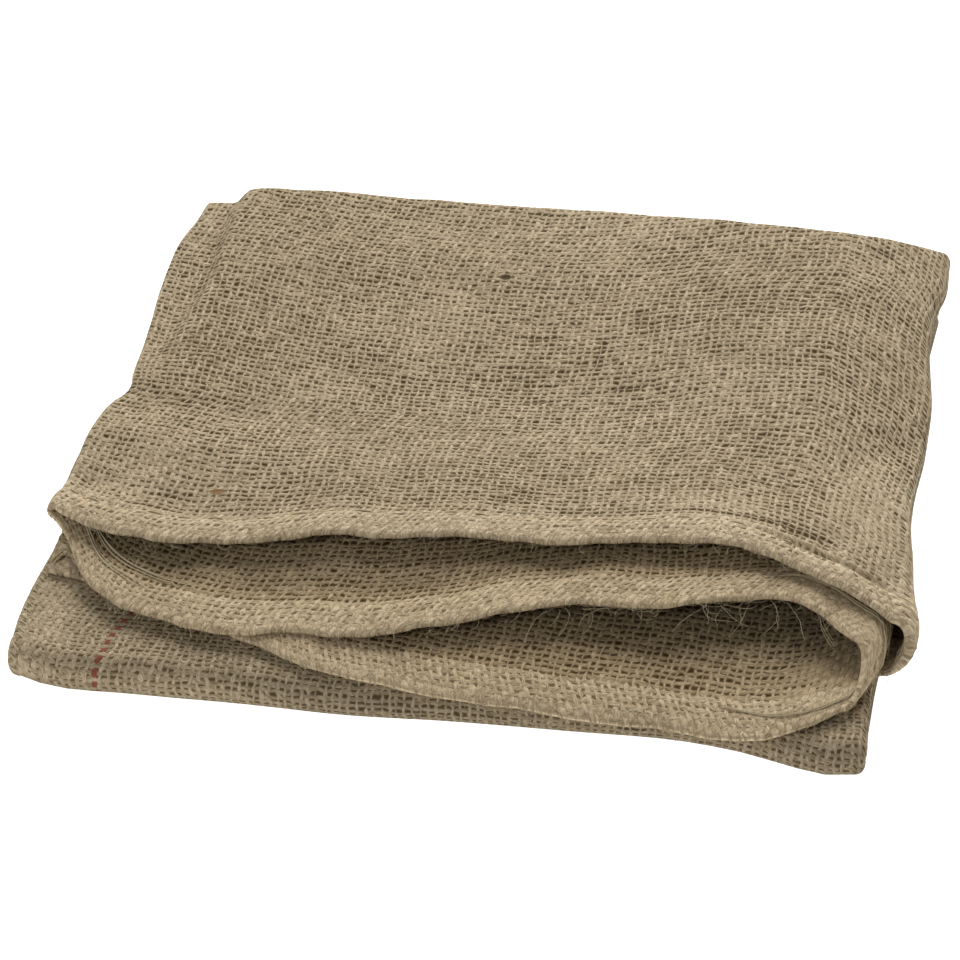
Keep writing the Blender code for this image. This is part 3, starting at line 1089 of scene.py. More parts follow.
# ------------------------------------------------------------------ sewing and loose threads
@dataclass
class Threads:
    """A piece made of many short threads of one thickness."""

    name: str
    radius: float
    sides: int = 1
    end_share: float = 0.55
    paths: list[list[Vector]] = field(default_factory=list)

    def build(self, material: Material) -> Piece:
        """Make every thread a thin round strand, finer towards its ends.

        Args:
            material: The threads' finish.

        Returns:
            The piece's object.
        """
        curve = bpy.data.curves.new(self.name, "CURVE")
        curve.dimensions = "3D"
        curve.bevel_depth = self.radius * MM
        curve.bevel_resolution = self.sides
        curve.use_fill_caps = True
        for path in self.paths:
            spline = curve.splines.new("POLY")
            spline.points.add(len(path) - 1)
            for i, place in enumerate(path):
                above = max(place.z, self.radius * MM)
                spline.points[i].co = (place.x, place.y, above, 1.0)
                spline.points[i].radius = self.end_share if i in (0, len(path) - 1) else 1.0
        curve.materials.append(material)
        return into_scene(self.name, curve)


@dataclass
class HemYarns:
    """The hems' own yarns: warps that wrap over the edge, and wefts along the band."""

    pitch: float = 2.92
    radius: float = 0.4
    weft_radius: float = 0.42
    slants: tuple[float, float] = (0.12, 1.02)
    reaches: tuple[float, float] = (2.6, 7.0)
    share: float = 0.72
    ends: float = 1.5
    weft_ends: float = 2.0
    seed: int = 5
    weft_lines: tuple[float, ...] = (4.6,)
    weft_starts: tuple[float, float] = (0.0, 6.0)
    weft_depth: float = 0.42
    weft_rise: float = 0.25

    # How far each wave moves a weft, its length, and how many times over its start counts.
    weft_sways: tuple[tuple[float, float, float], ...] = ((0.6, 11.0, 1), (0.35, 4.3, 2))
    weft_lift: tuple[float, float] = (0.15, 6.1)

    def wrap(self, panel: Panel, across: float, chance: random.Random) -> list[Vector]:
        """Lead one warp yarn from one face over the hem's edge to the other face.

        Args:
            panel: The panel the hem is on.
            across: Where across the panel the yarn crosses the edge.
            chance: The source of random draws.

        Returns:
            The yarn's path.
        """
        slant = chance.uniform(*self.slants)
        path = []
        for side in (Side.OUTSIDE, Side.INSIDE):
            reach = chance.uniform(*self.reaches)
            # How far from the edge each point lies, and how far off the cloth's face.
            steps = [(reach, -0.6), (reach * 0.65, -0.17), (1.3, -0.12), (0.15, -0.1)]
            face = [panel.spot(across + slant * along, along, side, lift) for along, lift in steps]
            path += face if side is Side.OUTSIDE else face[::-1]
        edge = [panel.spot(across, -0.25, side, 0.0) for side in Side]
        path.insert(len(steps), (edge[0] + edge[1]) / 2)
        return path

    def weft(self, panel: Panel, along: float, side: Side, chance: random.Random) -> list[Vector]:
        """Lead one weft yarn along the band, over and under the warps.

        Args:
            panel: The panel the hem is on.
            along: How far from the hem's edge the yarn lies.
            side: The face it lies on.
            chance: The source of random draws.

        Returns:
            The yarn's path.
        """
        start = chance.uniform(*self.weft_starts)
        first, last = panel.across[[0, -1]]
        across = np.arange(first + self.weft_ends, last - self.weft_ends, self.pitch / 2)
        path = []
        for i, place in enumerate(across):
            lift = -self.weft_depth + self.weft_rise * math.cos(math.pi * i)
            lift += self.weft_lift[0] * math.sin(place / self.weft_lift[1] + start)
            sway = sum(
                reach * math.sin(place / length + times * start)
                for reach, length, times in self.weft_sways
            )
            path.append(panel.spot(place, along + sway, side, lift))
        return path

    def build(self, panels: Panels, material: Material) -> list[Piece]:
        """Make the wrapped warps and the bands' wefts of both panels.

        Args:
            panels: The outer and the inner panel.
            material: The yarns' finish.

        Returns:
            The warps' object and the wefts' object.
        """
        chance = random.Random(self.seed)
        wraps = Threads("hem_warps", self.radius)
        wefts = Threads("hem_wefts", self.weft_radius, sides=0)
        for panel in panels:
            first, last = panel.across[[0, -1]]
            for across in np.arange(first + self.ends, last - self.ends, self.pitch):
                if chance.random() < self.share:
                    wraps.paths.append(self.wrap(panel, across + chance.uniform(-1, 1), chance))
            for along in self.weft_lines:
                wefts.paths += [self.weft(panel, along, side, chance) for side in Side]
        return [wraps.build(material), wefts.build(material)]


@dataclass
class Sewing:
    """The running stitches of the hem and the slanted ones of the side seam."""

    cloth: SackCloth
    radius: float = 0.3
    stitch: float = 6.5
    stitches: tuple[float, float] = (0.6, 1.3)
    gap: float = 3.0
    gaps: tuple[float, float] = (0.7, 2.0)
    sway: float = 0.6
    ends: float = 4.0
    lifts: tuple[float, ...] = (-0.6, -0.12, 0.02, 0.02, -0.12, -0.6)
    seed: int = 3
    seam_starts: float = 300.0
    seam_ends: float = 6.0
    seam_pitch: float = 3.6
    seam_lean: tuple[float, float, float] = (2.2, 0.5, 2.7)

    # How far in from the seam, along and off the face each point of a slanted stitch lies.
    slanted: tuple[tuple[float, float, float], ...] = (
        (1.0, 0.0, 0.05), (2.6, 0.35, 0.25), (4.4, 0.7, 0.2), (6.0, 1.0, -0.5),
    )

    def hem_stitches(self, panel: Panel, side: Side) -> list[list[Vector]]:
        """Lay the hem's stitches along its stitch line, on the face that shows them.

        Args:
            panel: The panel the hem is on.
            side: The face that shows them.

        Returns:
            The path of each stitch.
        """
        first, end = panel.across[0] + self.ends, panel.across[-1] - self.ends
        chance = random.Random(self.seed)
        paths = []
        while first < end:
            step = self.stitch * chance.uniform(*self.stitches) / (len(self.lifts) - 1)
            line = self.cloth.stitch_line + chance.uniform(-self.sway, self.sway)
            places = enumerate(self.lifts)
            paths.append([panel.spot(first + step * t, line, side, lift) for t, lift in places])
            first += step * (len(self.lifts) - 1) + self.gap * chance.uniform(*self.gaps)
        return paths

    def seam_stitches(self, panel: Panel) -> list[list[Vector]]:
        """Lay the slanted stitches of the side seam, below the folds of the mouth.

        Args:
            panel: The panel the seam is on.

        Returns:
            The path of each stitch.
        """
        paths = []
        edge, length = panel.across[-1], panel.along[-1, -1]
        for along in np.arange(self.seam_starts, length - self.seam_ends, self.seam_pitch):
            lean = self.seam_lean[0] + self.seam_lean[1] * math.sin(self.seam_lean[2] * along)
            path = []
            for inward, share, lift in self.slanted:
                path.append(panel.spot(edge - inward, along + lean * share, Side.OUTSIDE, lift))
            paths.append(path)
        return paths

    def build(self, panels: Panels, material: Material) -> Piece:
        """Make the sewing that shows, which is on the outer panel's outside.

        Args:
            panels: The outer and the inner panel.
            material: The thread's finish.

        Returns:
            The sewing's object.
        """
        outer = panels[0]
        threads = Threads("hem_stitching", self.radius)
        threads.paths += self.hem_stitches(outer, Side.OUTSIDE)
        threads.paths += self.seam_stitches(outer)
        return threads.build(material)


@dataclass
class LongThreads:
    """Long pale threads that have come loose and lie side by side along the bands."""

    radius: float = 0.26
    apart: float = 1.1
    step: float = 2.5
    lift: float = 0.4

    # How far each wave goes and how fast it turns: of the ends, to the side, and up and down.
    stagger: tuple[float, float] = (5.0, 2.3)
    sway: tuple[float, float] = (0.25, 9.0)
    rise: tuple[float, float] = (0.2, 14.0)

    def build(self, panels: Panels, material: Material) -> Piece:
        """Lay each group of threads on the inner panel's faces.

        Args:
            panels: The outer and the inner panel.
            material: The threads' finish.

        Returns:
            The threads' object.
        """
        inner = panels[1]
        threads = Threads("long_threads", self.radius, sides=0)
        for facing, across0, across1, along0, along1, bow, count in LOOSE_THREADS:
            side = Side.INSIDE if facing > 0 else Side.OUTSIDE
            for number in range(count):
                shares = np.linspace(0.0, 1.0, int((across1 - across0) / self.step))
                start = inner.across[0] + across0
                start += self.stagger[0] * math.sin(self.stagger[1] * number)
                path = []
                for share in shares:
                    along = mix(along0, along1, share) + bow * math.sin(math.pi * share)
                    sway = self.sway[0] * math.sin(self.sway[1] * share + number)
                    along += self.apart * number + sway
                    lift = self.lift + self.rise[0] * math.sin(self.rise[1] * share)
                    across = start + (across1 - across0) * share
                    path.append(inner.spot(across, along, side, lift))
                threads.paths.append(path)
        return threads.build(material)


@dataclass
class Fuzz:
    """Fine loose fibres that stand off the cloth, most of them along the hems."""

    radius: float = 0.065
    seed: int = 11
    on_hems: int = 1500
    on_faces: int = 2500
    long_ones: int = 60
    hem_lengths: tuple[float, float] = (2.0, 7.0)
    face_lengths: tuple[float, float] = (2.0, 6.0)
    long_lengths: tuple[float, float] = (9.0, 22.0)
    long_places: tuple[float, float] = (200.0, 300.0)
    long_along: float = 0.4

    # How far before the edge the hems' fibres begin, and how fast they thin out behind it.
    hem_spread: tuple[float, float] = (-0.3, 0.35)
    margins: tuple[float, float] = (2.0, 8.0)

    # How a fibre curls: its whole bend, its slope, its start off the face and its unevenness.
    steps: int = 5
    bend: float = 2.6
    slopes: tuple[float, float] = (0.3, 0.9)
    starts: tuple[float, float] = (-0.1, 0.3)
    climbs: tuple[float, float] = (-0.2, 1.0)
    flatness: float = 12.0
    kink: float = 0.4

    def fibre(
        self,
        panel: Panel,
        across: float,
        along: float,
        side: Side,
        length: float,
        chance: random.Random,
    ) -> list[Vector]:
        """Curl one fibre away from a place on the cloth.

        Args:
            panel: The panel it has come loose from.
            across: Where across the panel it starts.
            along: How far from the mouth it starts.
            side: The face it stands on.
            length: Its length.
            chance: The source of random draws.

        Returns:
            The fibre's path.
        """
        heading = chance.uniform(0.0, 2 * math.pi)
        bend = chance.uniform(-self.bend, self.bend)
        lift = chance.uniform(*self.slopes)
        height = chance.uniform(*self.starts)
        path = []
        for _ in range(self.steps + 1):
            path.append(panel.spot(across, along, side, height))
            across += length / self.steps * math.cos(heading)
            along += length / self.steps * math.sin(heading)
            climb = lift * length / self.flatness * chance.uniform(*self.climbs)
            height = max(0.0, height + climb)
            heading += bend / self.steps + chance.uniform(-self.kink, self.kink)
        return path

    def build(self, panels: Panels, material: Material) -> Piece:
        """Scatter the fibres over both panels.

        Args:
            panels: The outer and the inner panel.
            material: The fibres' finish.

        Returns:
            The fibres' object.
        """
        chance = random.Random(self.seed)
        outer, inner = panels
        threads = Threads("loose_fibres", self.radius, sides=0)
        before, thins = self.hem_spread
        least, spared = self.margins
        for _ in range(self.on_hems):
            panel = chance.choice(panels)
            across = chance.uniform(panel.across[0], panel.across[-1])
            along = before + chance.expovariate(thins)
            side = chance.choice(list(Side))
            length = chance.uniform(*self.hem_lengths)
            threads.paths.append(self.fibre(panel, across, along, side, length, chance))
        for _ in range(self.on_faces):
            # The face they stand on, and how far from the mouth they reach.
            panel, side, deep = chance.choice(
                (
                    (outer, Side.OUTSIDE, 900.0),
                    (outer, Side.OUTSIDE, 262.0),
                    (outer, Side.OUTSIDE, 262.0),
                    (inner, Side.INSIDE, 60.0),
                )
            )
            across = chance.uniform(panel.across[0], panel.across[-1])
            length = chance.uniform(*self.face_lengths)
            along = chance.uniform(least, min(deep, panel.along[-1, 0] - spared))
            threads.paths.append(self.fibre(panel, across, along, side, length, chance))
        for _ in range(self.long_ones):
            across = inner.across[0] + chance.uniform(*self.long_places)
            length = chance.uniform(*self.long_lengths)
            start = (across, self.long_along, Side.OUTSIDE)
            threads.paths.append(self.fibre(inner, *start, length, chance))
        return threads.build(material)


# ------------------------------------------------------------------ finishes
YARNS = "yarns"
WHITE = (1.0, 1.0, 1.0, 1.0)


def linear(code: str) -> tuple[float, float, float, float]:
    """Turn an sRGB hex colour into linear light.

    Args:
        code: The colour as six hex digits.

    Returns:
        Red, green, blue and an alpha of 1.
    """
    shares = [int(code[i : i + 2], 16) / 255 for i in (0, 2, 4)]
    light = [s / 12.92 if s <= 0.04045 else ((s + 0.055) / 1.055) ** 2.4 for s in shares]
    return (*light, 1.0)


def add(tree: Tree, kind: str, *inputs: object, **settings: object) -> Node:
    """Add a node with its settings and links.

    Args:
        tree: The node tree.
        kind: The node's type, without its leading ShaderNode.
        *inputs: A value, a node or a socket for each input in turn, or None to leave it.
        **settings: The node's own settings.

    Returns:
        The node.
    """
    node = tree.nodes.new("ShaderNode" + kind)
    for name, value in settings.items():
        setattr(node, name, value)
    for socket, value in zip(node.inputs, inputs):
        if isinstance(value, Node):
            value = value.outputs[0]
        if isinstance(value, Socket):
            tree.links.new(value, socket)
        elif value is not None:
            socket.default_value = value
    return node


def new_finish(name: str) -> tuple[Material, Tree, Node]:
    """Start a finish.

    Args:
        name: The material's name.

    Returns:
        The material, its node tree and its shader.
    """
    material = bpy.data.materials.new(name)
    material.use_nodes = True
    return material, material.node_tree, material.node_tree.nodes["Principled BSDF"]


def set_inputs(node: Node, **values: object) -> None:
    """Set a node's inputs by name.

    Args:
        node: The node.
        **values: The value for each input, whose name has underscores here for its spaces.
    """
    for name, value in values.items():
        node.inputs[name.replace("_", " ")].default_value = value


def coat(
    tree: Tree, shader: Node, colour: Node, height: Node, relief: tuple[float, float]
) -> None:
    """Give a shader its colour and its bump.

    Args:
        tree: The node tree.
        shader: The shader.
        colour: The node that gives the colour.
        height: The node that gives the bump's height.
        relief: How strong the bump is, and how far it stands in metres.
    """
    bump = add(tree, "Bump", *relief)
    tree.links.new(height.outputs[0], bump.inputs["Height"])
    tree.links.new(colour.outputs[0], shader.inputs["Base Color"])
    tree.links.new(bump.outputs[0], shader.inputs["Normal"])


@dataclass(frozen=True)
class WovenJute:
    """Plain-woven jute, natural and dry: dull uneven yarns with open holes between them.

    Jute is a bast fibre, spun loose and hairy. It gives the eye a matt, streaky surface with no
    sheen, yarns that are thick and thin by turns, and small dark holes. The default IOR is near
    that of its cellulose. Places among the yarns are in metres, as the UV map gives them.
    """

    seam: float
    marks: tuple[tuple[float, ...], ...]
    specks: tuple[tuple, ...]
    # Where along the yarns the painted shade of the front fold, and that of its rim, grow in.
    front: tuple[float, float]
    rim: tuple[float, float]
    hem_width: float

    # The real spacing of light sacking's yarns, in millimetres, and half a yarn's share of it.
    warp_pitch: float = 2.85
    weft_pitch: float = 2.78
    warp_share: float = 0.21
    weft_share: float = 0.36

    # The dry surface: the bump's strength and how far it stands, in millimetres, how rough and how
    # glossy the fibres are, and how high each yarn's middle lies in the bump.
    bump: float = 0.9
    relief: float = 0.5
    roughness: float = 0.95
    gloss: float = 0.08
    warp_height: float = 0.92
    weft_height: float = 0.75
    crimp: float = 0.26
    fibre_rise: float = 0.6
    roundness: float = 0.7
    round_edge: float = 0.3

    # How far the yarns wander: the scale and reach of each wave, in yarns.
    wanders: tuple[tuple[float, float], ...] = ((0.035, 0.9), (0.2, 0.4), (0.75, 0.42))

    # A yarn's unevenness: how fast it changes, its shift, its slubs and its least half width,
    # and which line of the noise it reads, by its number and its direction.
    uneven_run: float = 0.2
    shift: float = 0.9
    slubs: tuple[float, float] = (1.3, 0.35)
    least_half: float = 0.1
    lines: tuple[float, float] = (7.31, 40.0)

    # Real fibres are finer than 0.1 mm, too fine to show. These streaks are ten times coarser.
    twist: float = 1.3
    strands: float = 2.0
    streaks: float = 1.1
    own_tint: float = 0.65

    # The natural colours, from the least to the most weathered yarn, and how tints spread on them.
    light: str = "b6a68b"
    middle: str = "96866c"
    dark: str = "75664e"
    warp_lighter: float = 0.16
    stain_scale: float = 0.04
    stains: float = 0.17
    tints: tuple[float, float] = (0.58, 1.24)
    # Painted shade and highlight: how much darker a yarn is where its surface dips, and lighter
    # where it stands highest.
    dips: tuple[float, ...] = (0.6, 1.8, 0.62, 1.08)

    # The holes, in painted shade for the shaded cloth seen through them: how their colour and depth
    # go, how open they are, and where they are shallower.
    shallow_hole: str = "6a5a40"
    deep_hole: str = "362a13"
    hole_edge: tuple[float, float] = (-0.02, 0.03)
    hole_depth: tuple[float, ...] = (0.0, 0.24, 0.1, 1.0)
    hole_spread: float = 0.42
    hole_scale: float = 0.8
    patch_scale: float = 0.06
    patches: tuple[float, float] = (0.22, -0.33)
    mark_edge: tuple[float, float] = (0.8, 1.2)
    hem_closes: float = 0.1
    hem_shallows: float = 0.75
    edge_closes: tuple[float, ...] = (0.006, 0.003, 0.0, 0.22)
    selvedge_closes: tuple[float, ...] = (0.026, 0.010, 0.0, 0.14)
    lower: tuple[float, float] = (0.50, 0.54)
    lower_closes: float = 0.03
    lower_shallows: float = 0.6

    # The marking stripe: one dyed warp, a little thicker than its neighbours.
    stripe: str = "76322a"
    stripe_strength: float = 0.86
    stripe_from_seam: float = 38.4
    stripe_widens: float = 0.17

    # The inner panel, tinted warmer as painted shade for the light bounced inside the sack, and its
    # deepest part, the pocket, darkened with painted shade.
    inner_from: float = 0.99
    inside_cast: tuple[float, float, float] = (1.0, 0.955, 0.87)
    hem_spares: float = 0.6
    pocket_from: float = 1.31
    pocket_turn: float = 0.12
    pocket_mouth: tuple[float, float] = (0.018, 0.055)
    pocket_darkens: float = 0.6
    turn_darkens: float = 0.36

    # Wear and painted shade: the pressed hem, a band of painted shadow on ply b and painted shade
    # on the front fold.
    hem_lightens: float = 1.14
    dust_band: tuple[float, float, float, float] = (0.017, 0.025, 0.034, 0.044)
    dust_ends: tuple[float, float] = (1.19, 1.25)
    dust_darkens: float = 0.3
    front_ends: tuple[float, float] = (0.55, 0.50)
    front_darkens: float = 0.27

    def make(self) -> Material:
        """Make the woven finish, which follows the cloth's own yarns.

        Returns:
            The material.
        """
        material, tree, shader = new_finish("woven_jute")
        uv = add(tree, "UVMap", uv_map=YARNS)
        place = add(tree, "SeparateXYZ", uv)
        scale = (1 / (self.warp_pitch * MM), 1 / (self.weft_pitch * MM), 0.0)
        even = add(tree, "VectorMath", uv, scale, operation="MULTIPLY")
        counts = add(tree, "SeparateXYZ", self.wander(tree, even))
        number = add(tree, "Math", counts, operation="FLOOR")
        dyed_number = math.floor((self.seam - self.stripe_from_seam) / self.warp_pitch)
        dyed = add(tree, "Math", number, float(dyed_number), 0.5, operation="COMPARE")
        hem_ends = (self.hem_width * MM, (self.hem_width - 1) * MM)
        in_hem = add(tree, "MapRange", place.outputs[1], *hem_ends, 0.0, 1.0)
        closeness = self.closeness(tree, even, place, in_hem, dyed)
        across, along = counts.outputs[0], counts.outputs[1]
        warp = self.yarn(tree, across, along, closeness, self.warp_share)
        weft = self.yarn(tree, along, across, closeness, self.weft_share)
        both = add(tree, "Math", warp["number"], weft["number"], operation="ADD")
        odd = add(tree, "Math", both, 2.0, operation="FLOORED_MODULO")
        warp_side = add(tree, "Math", odd, 2.0, -1.0, operation="MULTIPLY_ADD")
        weft_side = add(tree, "Math", warp_side, -1.0, operation="MULTIPLY")
        warp_top = self.surface(tree, warp, weft, warp_side, self.warp_height)
        weft_top = self.surface(tree, weft, warp, weft_side, self.weft_height)
        top = add(tree, "Math", warp_top, weft_top, operation="MAXIMUM")
        warp_over = add(tree, "Math", warp_top, weft_top, operation="GREATER_THAN")
        lighter = add(tree, "Math", warp["tint"], self.warp_lighter, operation="ADD")
        tint = add(tree, "MixRGB", warp_over, weft["tint"], lighter)
        colour = self.colour(tree, tint, top, even)
        shows = add(tree, "Math", dyed, warp_over, operation="MULTIPLY")
        red = add(tree, "MixRGB", self.stripe_strength, colour, linear(self.stripe))
        colour = add(tree, "MixRGB", shows, colour, red)
        apart = add(tree, "Math", warp["apart"], weft["apart"], operation="MINIMUM")
        open_here = add(tree, "MapRange", apart, *self.hole_edge, 0.0, 1.0)
        hole = self.hole(tree, apart, place, in_hem)
        finish = add(tree, "MixRGB", open_here, colour, hole)
        for *ellipse, shade in self.specks:
            speck = self.ellipse(tree, place, *ellipse, 0.0)
            finish = add(tree, "MixRGB", speck, finish, linear(shade))
        # Multiply in the painted shade (the inner panel's warm tint, the pocket, the front fold, a
        # shadow band on ply b) and the pressed hem's lighter tone.
        for share in (self.inner_cast(tree, place, in_hem), *self.wear(tree, place, in_hem)):
            finish = add(tree, "VectorMath", finish, share, operation="MULTIPLY")
        coat(tree, shader, finish, top, (self.bump, self.relief * MM))
        set_inputs(shader, Roughness=self.roughness, Specular_IOR_Level=self.gloss)
        return material

    def wander(self, tree: Tree, even: Node) -> Node:
        """Let the yarns wander off their even spacing, broadly and finely.

        Args:
            tree: The node tree.
            even: The place counted in evenly spaced yarns.

        Returns:
            The place counted in yarns as they lie.
        """
        result = even
        for scale, reach in self.wanders:
            noise = add(tree, "TexNoise", even, None, scale, 1.0, 0.5, noise_dimensions="2D")
            centred = add(tree, "VectorMath", noise.outputs[1], (0.5,) * 3, operation="SUBTRACT")
            moved = add(tree, "VectorMath", centred, (reach, reach, 0.0), operation="MULTIPLY")
            result = add(tree, "VectorMath", result, moved, operation="ADD")
        return result

    def closeness(self, tree: Tree, even: Node, place: Node, in_hem: Node, dyed: Node) -> Node:
        """Close the weave up in patches, in the doubled hem and along the sewn selvedge.

        Args:
            tree: The node tree.
            even: The place counted in evenly spaced yarns.
            place: The place among the yarns.
            in_hem: 1 in the hem's band and 0 elsewhere.
            dyed: 1 on the dyed warp and 0 elsewhere.

        Returns:
            How much wider the yarns are here.
        """
        patches = add(
            tree, "TexNoise", even, None, self.patch_scale, 2.0, 0.5, noise_dimensions="2D"
        )
        close = add(tree, "Math", patches, *self.patches, operation="MULTIPLY_ADD")
        to_seam = add(tree, "Math", self.seam * MM, place, operation="SUBTRACT")
        nearest = add(tree, "Math", to_seam, operation="ABSOLUTE")
        near = add(tree, "MapRange", nearest, *self.selvedge_closes)
        low = add(tree, "MapRange", place.outputs[1], *self.lower, 0.0, self.lower_closes)
        edge = add(tree, "MapRange", place.outputs[1], *self.edge_closes)
        for more in (near, low, edge):
            close = add(tree, "Math", close, more, operation="ADD")
        own = add(tree, "TexNoise", even, None, self.hole_scale, 1.0, 0.5, noise_dimensions="2D")
        shares = [(dyed, self.stripe_widens), (own, self.hole_spread), (in_hem, self.hem_closes)]
        for *ellipse, opens in self.marks:
            shares.append((self.ellipse(tree, place, *ellipse), -opens))
        for here, share in shares:
            close = add(tree, "Math", here, share, close, operation="MULTIPLY_ADD")
        return close

    def ellipse(
        self,
        tree: Tree,
        place: Node,
        across: float,
        along: float,
        half_across: float,
        half_along: float,
        lean: float,
    ) -> Node:
        """Shade an ellipse among the yarns, 1 inside and 0 outside.

        Args:
            tree: The node tree.
            place: The place among the yarns, split into across and along.
            across: The ellipse's middle across, in metres.
            along: Its middle along, in metres.
            half_across: Half its size across, in millimetres.
            half_along: Half its size along, in millimetres.
            lean: How far it climbs along for each step across.

        Returns:
            The node that gives the share.
        """
        aside = add(tree, "Math", place.outputs[0], across, operation="SUBTRACT")
        down = add(tree, "Math", place.outputs[1], along, operation="SUBTRACT")
        down = add(tree, "Math", aside, -lean, down, operation="MULTIPLY_ADD")
        offset = add(tree, "CombineXYZ", aside, down)
        scale = (1 / (half_across * MM), 1 / (half_along * MM), 0.0)
        round_one = add(tree, "VectorMath", offset, scale, operation="MULTIPLY")
        away = add(tree, "VectorMath", round_one, operation="LENGTH")
        return add(tree, "MapRange", away.outputs["Value"], *self.mark_edge, 1.0, 0.0)

    def yarn(
        self, tree: Tree, over: Socket, run: Socket, closeness: Node, share: float
    ) -> dict[str, Node]:
        """Shape the yarns of one direction, each uneven along its length in its own way.

        Args:
            tree: The node tree.
            over: The place across the yarns, counted in yarns.
            run: The place along the yarns, counted in crossings.
            closeness: How much wider the yarns are here.
            share: Half a yarn's width as a share of its pitch.

        Returns:
            The yarn's number, roundness, tint and fibres, how far off its edge lies and where it
            is crossed.
        """
        number = add(tree, "Math", over, operation="FLOOR")
        by_number, by_share = self.lines
        own = add(tree, "Math", number, by_number, share * by_share, operation="MULTIPLY_ADD")
        slow = add(tree, "Math", run, self.uneven_run, operation="MULTIPLY")
        where = add(tree, "CombineXYZ", own, slow)
        uneven = add(tree, "TexNoise", where, None, 1.0, 3.0, 0.75, noise_dimensions="2D")
        parts = add(tree, "SeparateColor", uneven.outputs[1])
        centred = add(tree, "Math", over, number, operation="SUBTRACT")
        centred = add(tree, "Math", centred, 0.5, operation="SUBTRACT")
        shifts = (self.shift, -self.shift / 2)
        shift = add(tree, "Math", parts.outputs[0], *shifts, operation="MULTIPLY_ADD")
        off = add(tree, "Math", centred, shift, operation="ADD")
        slubs = tuple(slub * share for slub in self.slubs)
        slub = add(tree, "Math", parts.outputs[1], *slubs, operation="MULTIPLY_ADD")
        half = add(tree, "Math", slub, closeness, operation="ADD")
        half = add(tree, "Math", half, self.least_half, operation="MAXIMUM")
        ratio = add(tree, "Math", off, half, operation="DIVIDE")
        square = add(tree, "Math", ratio, ratio, operation="MULTIPLY")
        left = add(tree, "Math", 1.0, square, operation="SUBTRACT", use_clamp=True)
        side = add(tree, "Math", off, operation="ABSOLUTE")
        twist = add(tree, "Math", run, self.twist, own, operation="MULTIPLY_ADD")
        strand = add(tree, "Math", ratio, self.strands, twist, operation="MULTIPLY_ADD")
        streak = add(tree, "CombineXYZ", strand, run)
        fibres = add(
            tree, "TexNoise", streak, None, self.streaks, 1.0, 0.7, noise_dimensions="2D"
        )
        tint = parts.outputs[2]
        bend = add(tree, "Math", centred, math.pi, operation="MULTIPLY")
        return {
            "number": number,
            "round": add(tree, "Math", left, operation="SQRT"),
            "apart": add(tree, "Math", side, half, operation="SUBTRACT"),
            "tint": add(tree, "Math", tint, self.own_tint, fibres, operation="MULTIPLY_ADD"),
            "fibres": fibres,
            "crossing": add(tree, "Math", bend, operation="COSINE"),
        }

    def surface(
        self,
        tree: Tree,
        yarn: dict[str, Node],
        crossed: dict[str, Node],
        sign: Node,
        height: float,
    ) -> Node:
        """Work out how high a yarn stands, going over and under the ones it crosses.

        Args:
            tree: The node tree.
            yarn: The yarn.
            crossed: The yarn it crosses here.
            sign: 1 where it goes over and -1 where it goes under.
            height: How high its middle lies.

        Returns:
            The height of its surface, 0 off the yarn.
        """
        bent = add(tree, "Math", crossed["crossing"], sign, operation="MULTIPLY")
        lift = add(tree, "Math", bent, self.crimp, height, operation="MULTIPLY_ADD")
        rough = add(tree, "Math", yarn["fibres"], self.fibre_rise, lift, operation="MULTIPLY_ADD")
        top = add(tree, "Math", yarn["round"], self.roundness, rough, operation="MULTIPLY_ADD")
        cover = add(tree, "MapRange", yarn["round"], 0.0, self.round_edge, 0.0, 1.0)
        return add(tree, "Math", top, cover, operation="MULTIPLY")

    def colour(self, tree: Tree, tint: Node, top: Node, even: Node) -> Node:
        """Colour the yarns: each its own tint, streaked by its fibres, with painted shade where it
        dips.

        Args:
            tree: The node tree.
            tint: The yarn's own tint.
            top: The height of the yarn's surface.
            even: The place counted in evenly spaced yarns.

        Returns:
            The node that gives the colour.
        """
        stains = add(
            tree, "TexNoise", even, None, self.stain_scale, 2.0, 0.5, noise_dimensions="2D"
        )
        blotched = add(tree, "Math", stains, self.stains, tint, operation="MULTIPLY_ADD")
        level = add(tree, "MapRange", blotched, *self.tints, 0.0, 1.0)
        ramp = add(tree, "ValToRGB", level)
        stops = ramp.color_ramp.elements
        stops[0].color = linear(self.dark)
        stops[1].color = linear(self.light)
        stops.new(0.5).color = linear(self.middle)
        # Painted shade where the yarn dips, a little painted light where it stands highest.
        shade = add(tree, "MapRange", top, *self.dips)
        return add(tree, "VectorMath", ramp, shade, operation="MULTIPLY")

    def hole(self, tree: Tree, apart: Node, place: Node, in_hem: Node) -> Node:
        """Colour the holes with painted shade for the cloth seen through them, darker towards their
        middles and shallower in the hem.

        Args:
            tree: The node tree.
            apart: How far the nearest yarn's edge is.
            place: The place among the yarns, split into across and along.
            in_hem: 1 in the hem's band and 0 elsewhere.

        Returns:
            The node that gives the colour.
        """
        # Painted shade, deeper towards a hole's middle.
        depth = add(tree, "MapRange", apart, *self.hole_depth)
        shallow = add(tree, "Math", in_hem, -self.hem_shallows, 1.0, operation="MULTIPLY_ADD")
        deep = add(tree, "Math", depth, shallow, operation="MULTIPLY")
        lower = add(tree, "MapRange", place.outputs[1], *self.lower, 1.0, self.lower_shallows)
        deep = add(tree, "Math", deep, lower, operation="MULTIPLY")
        return add(tree, "MixRGB", deep, linear(self.shallow_hole), linear(self.deep_hole))

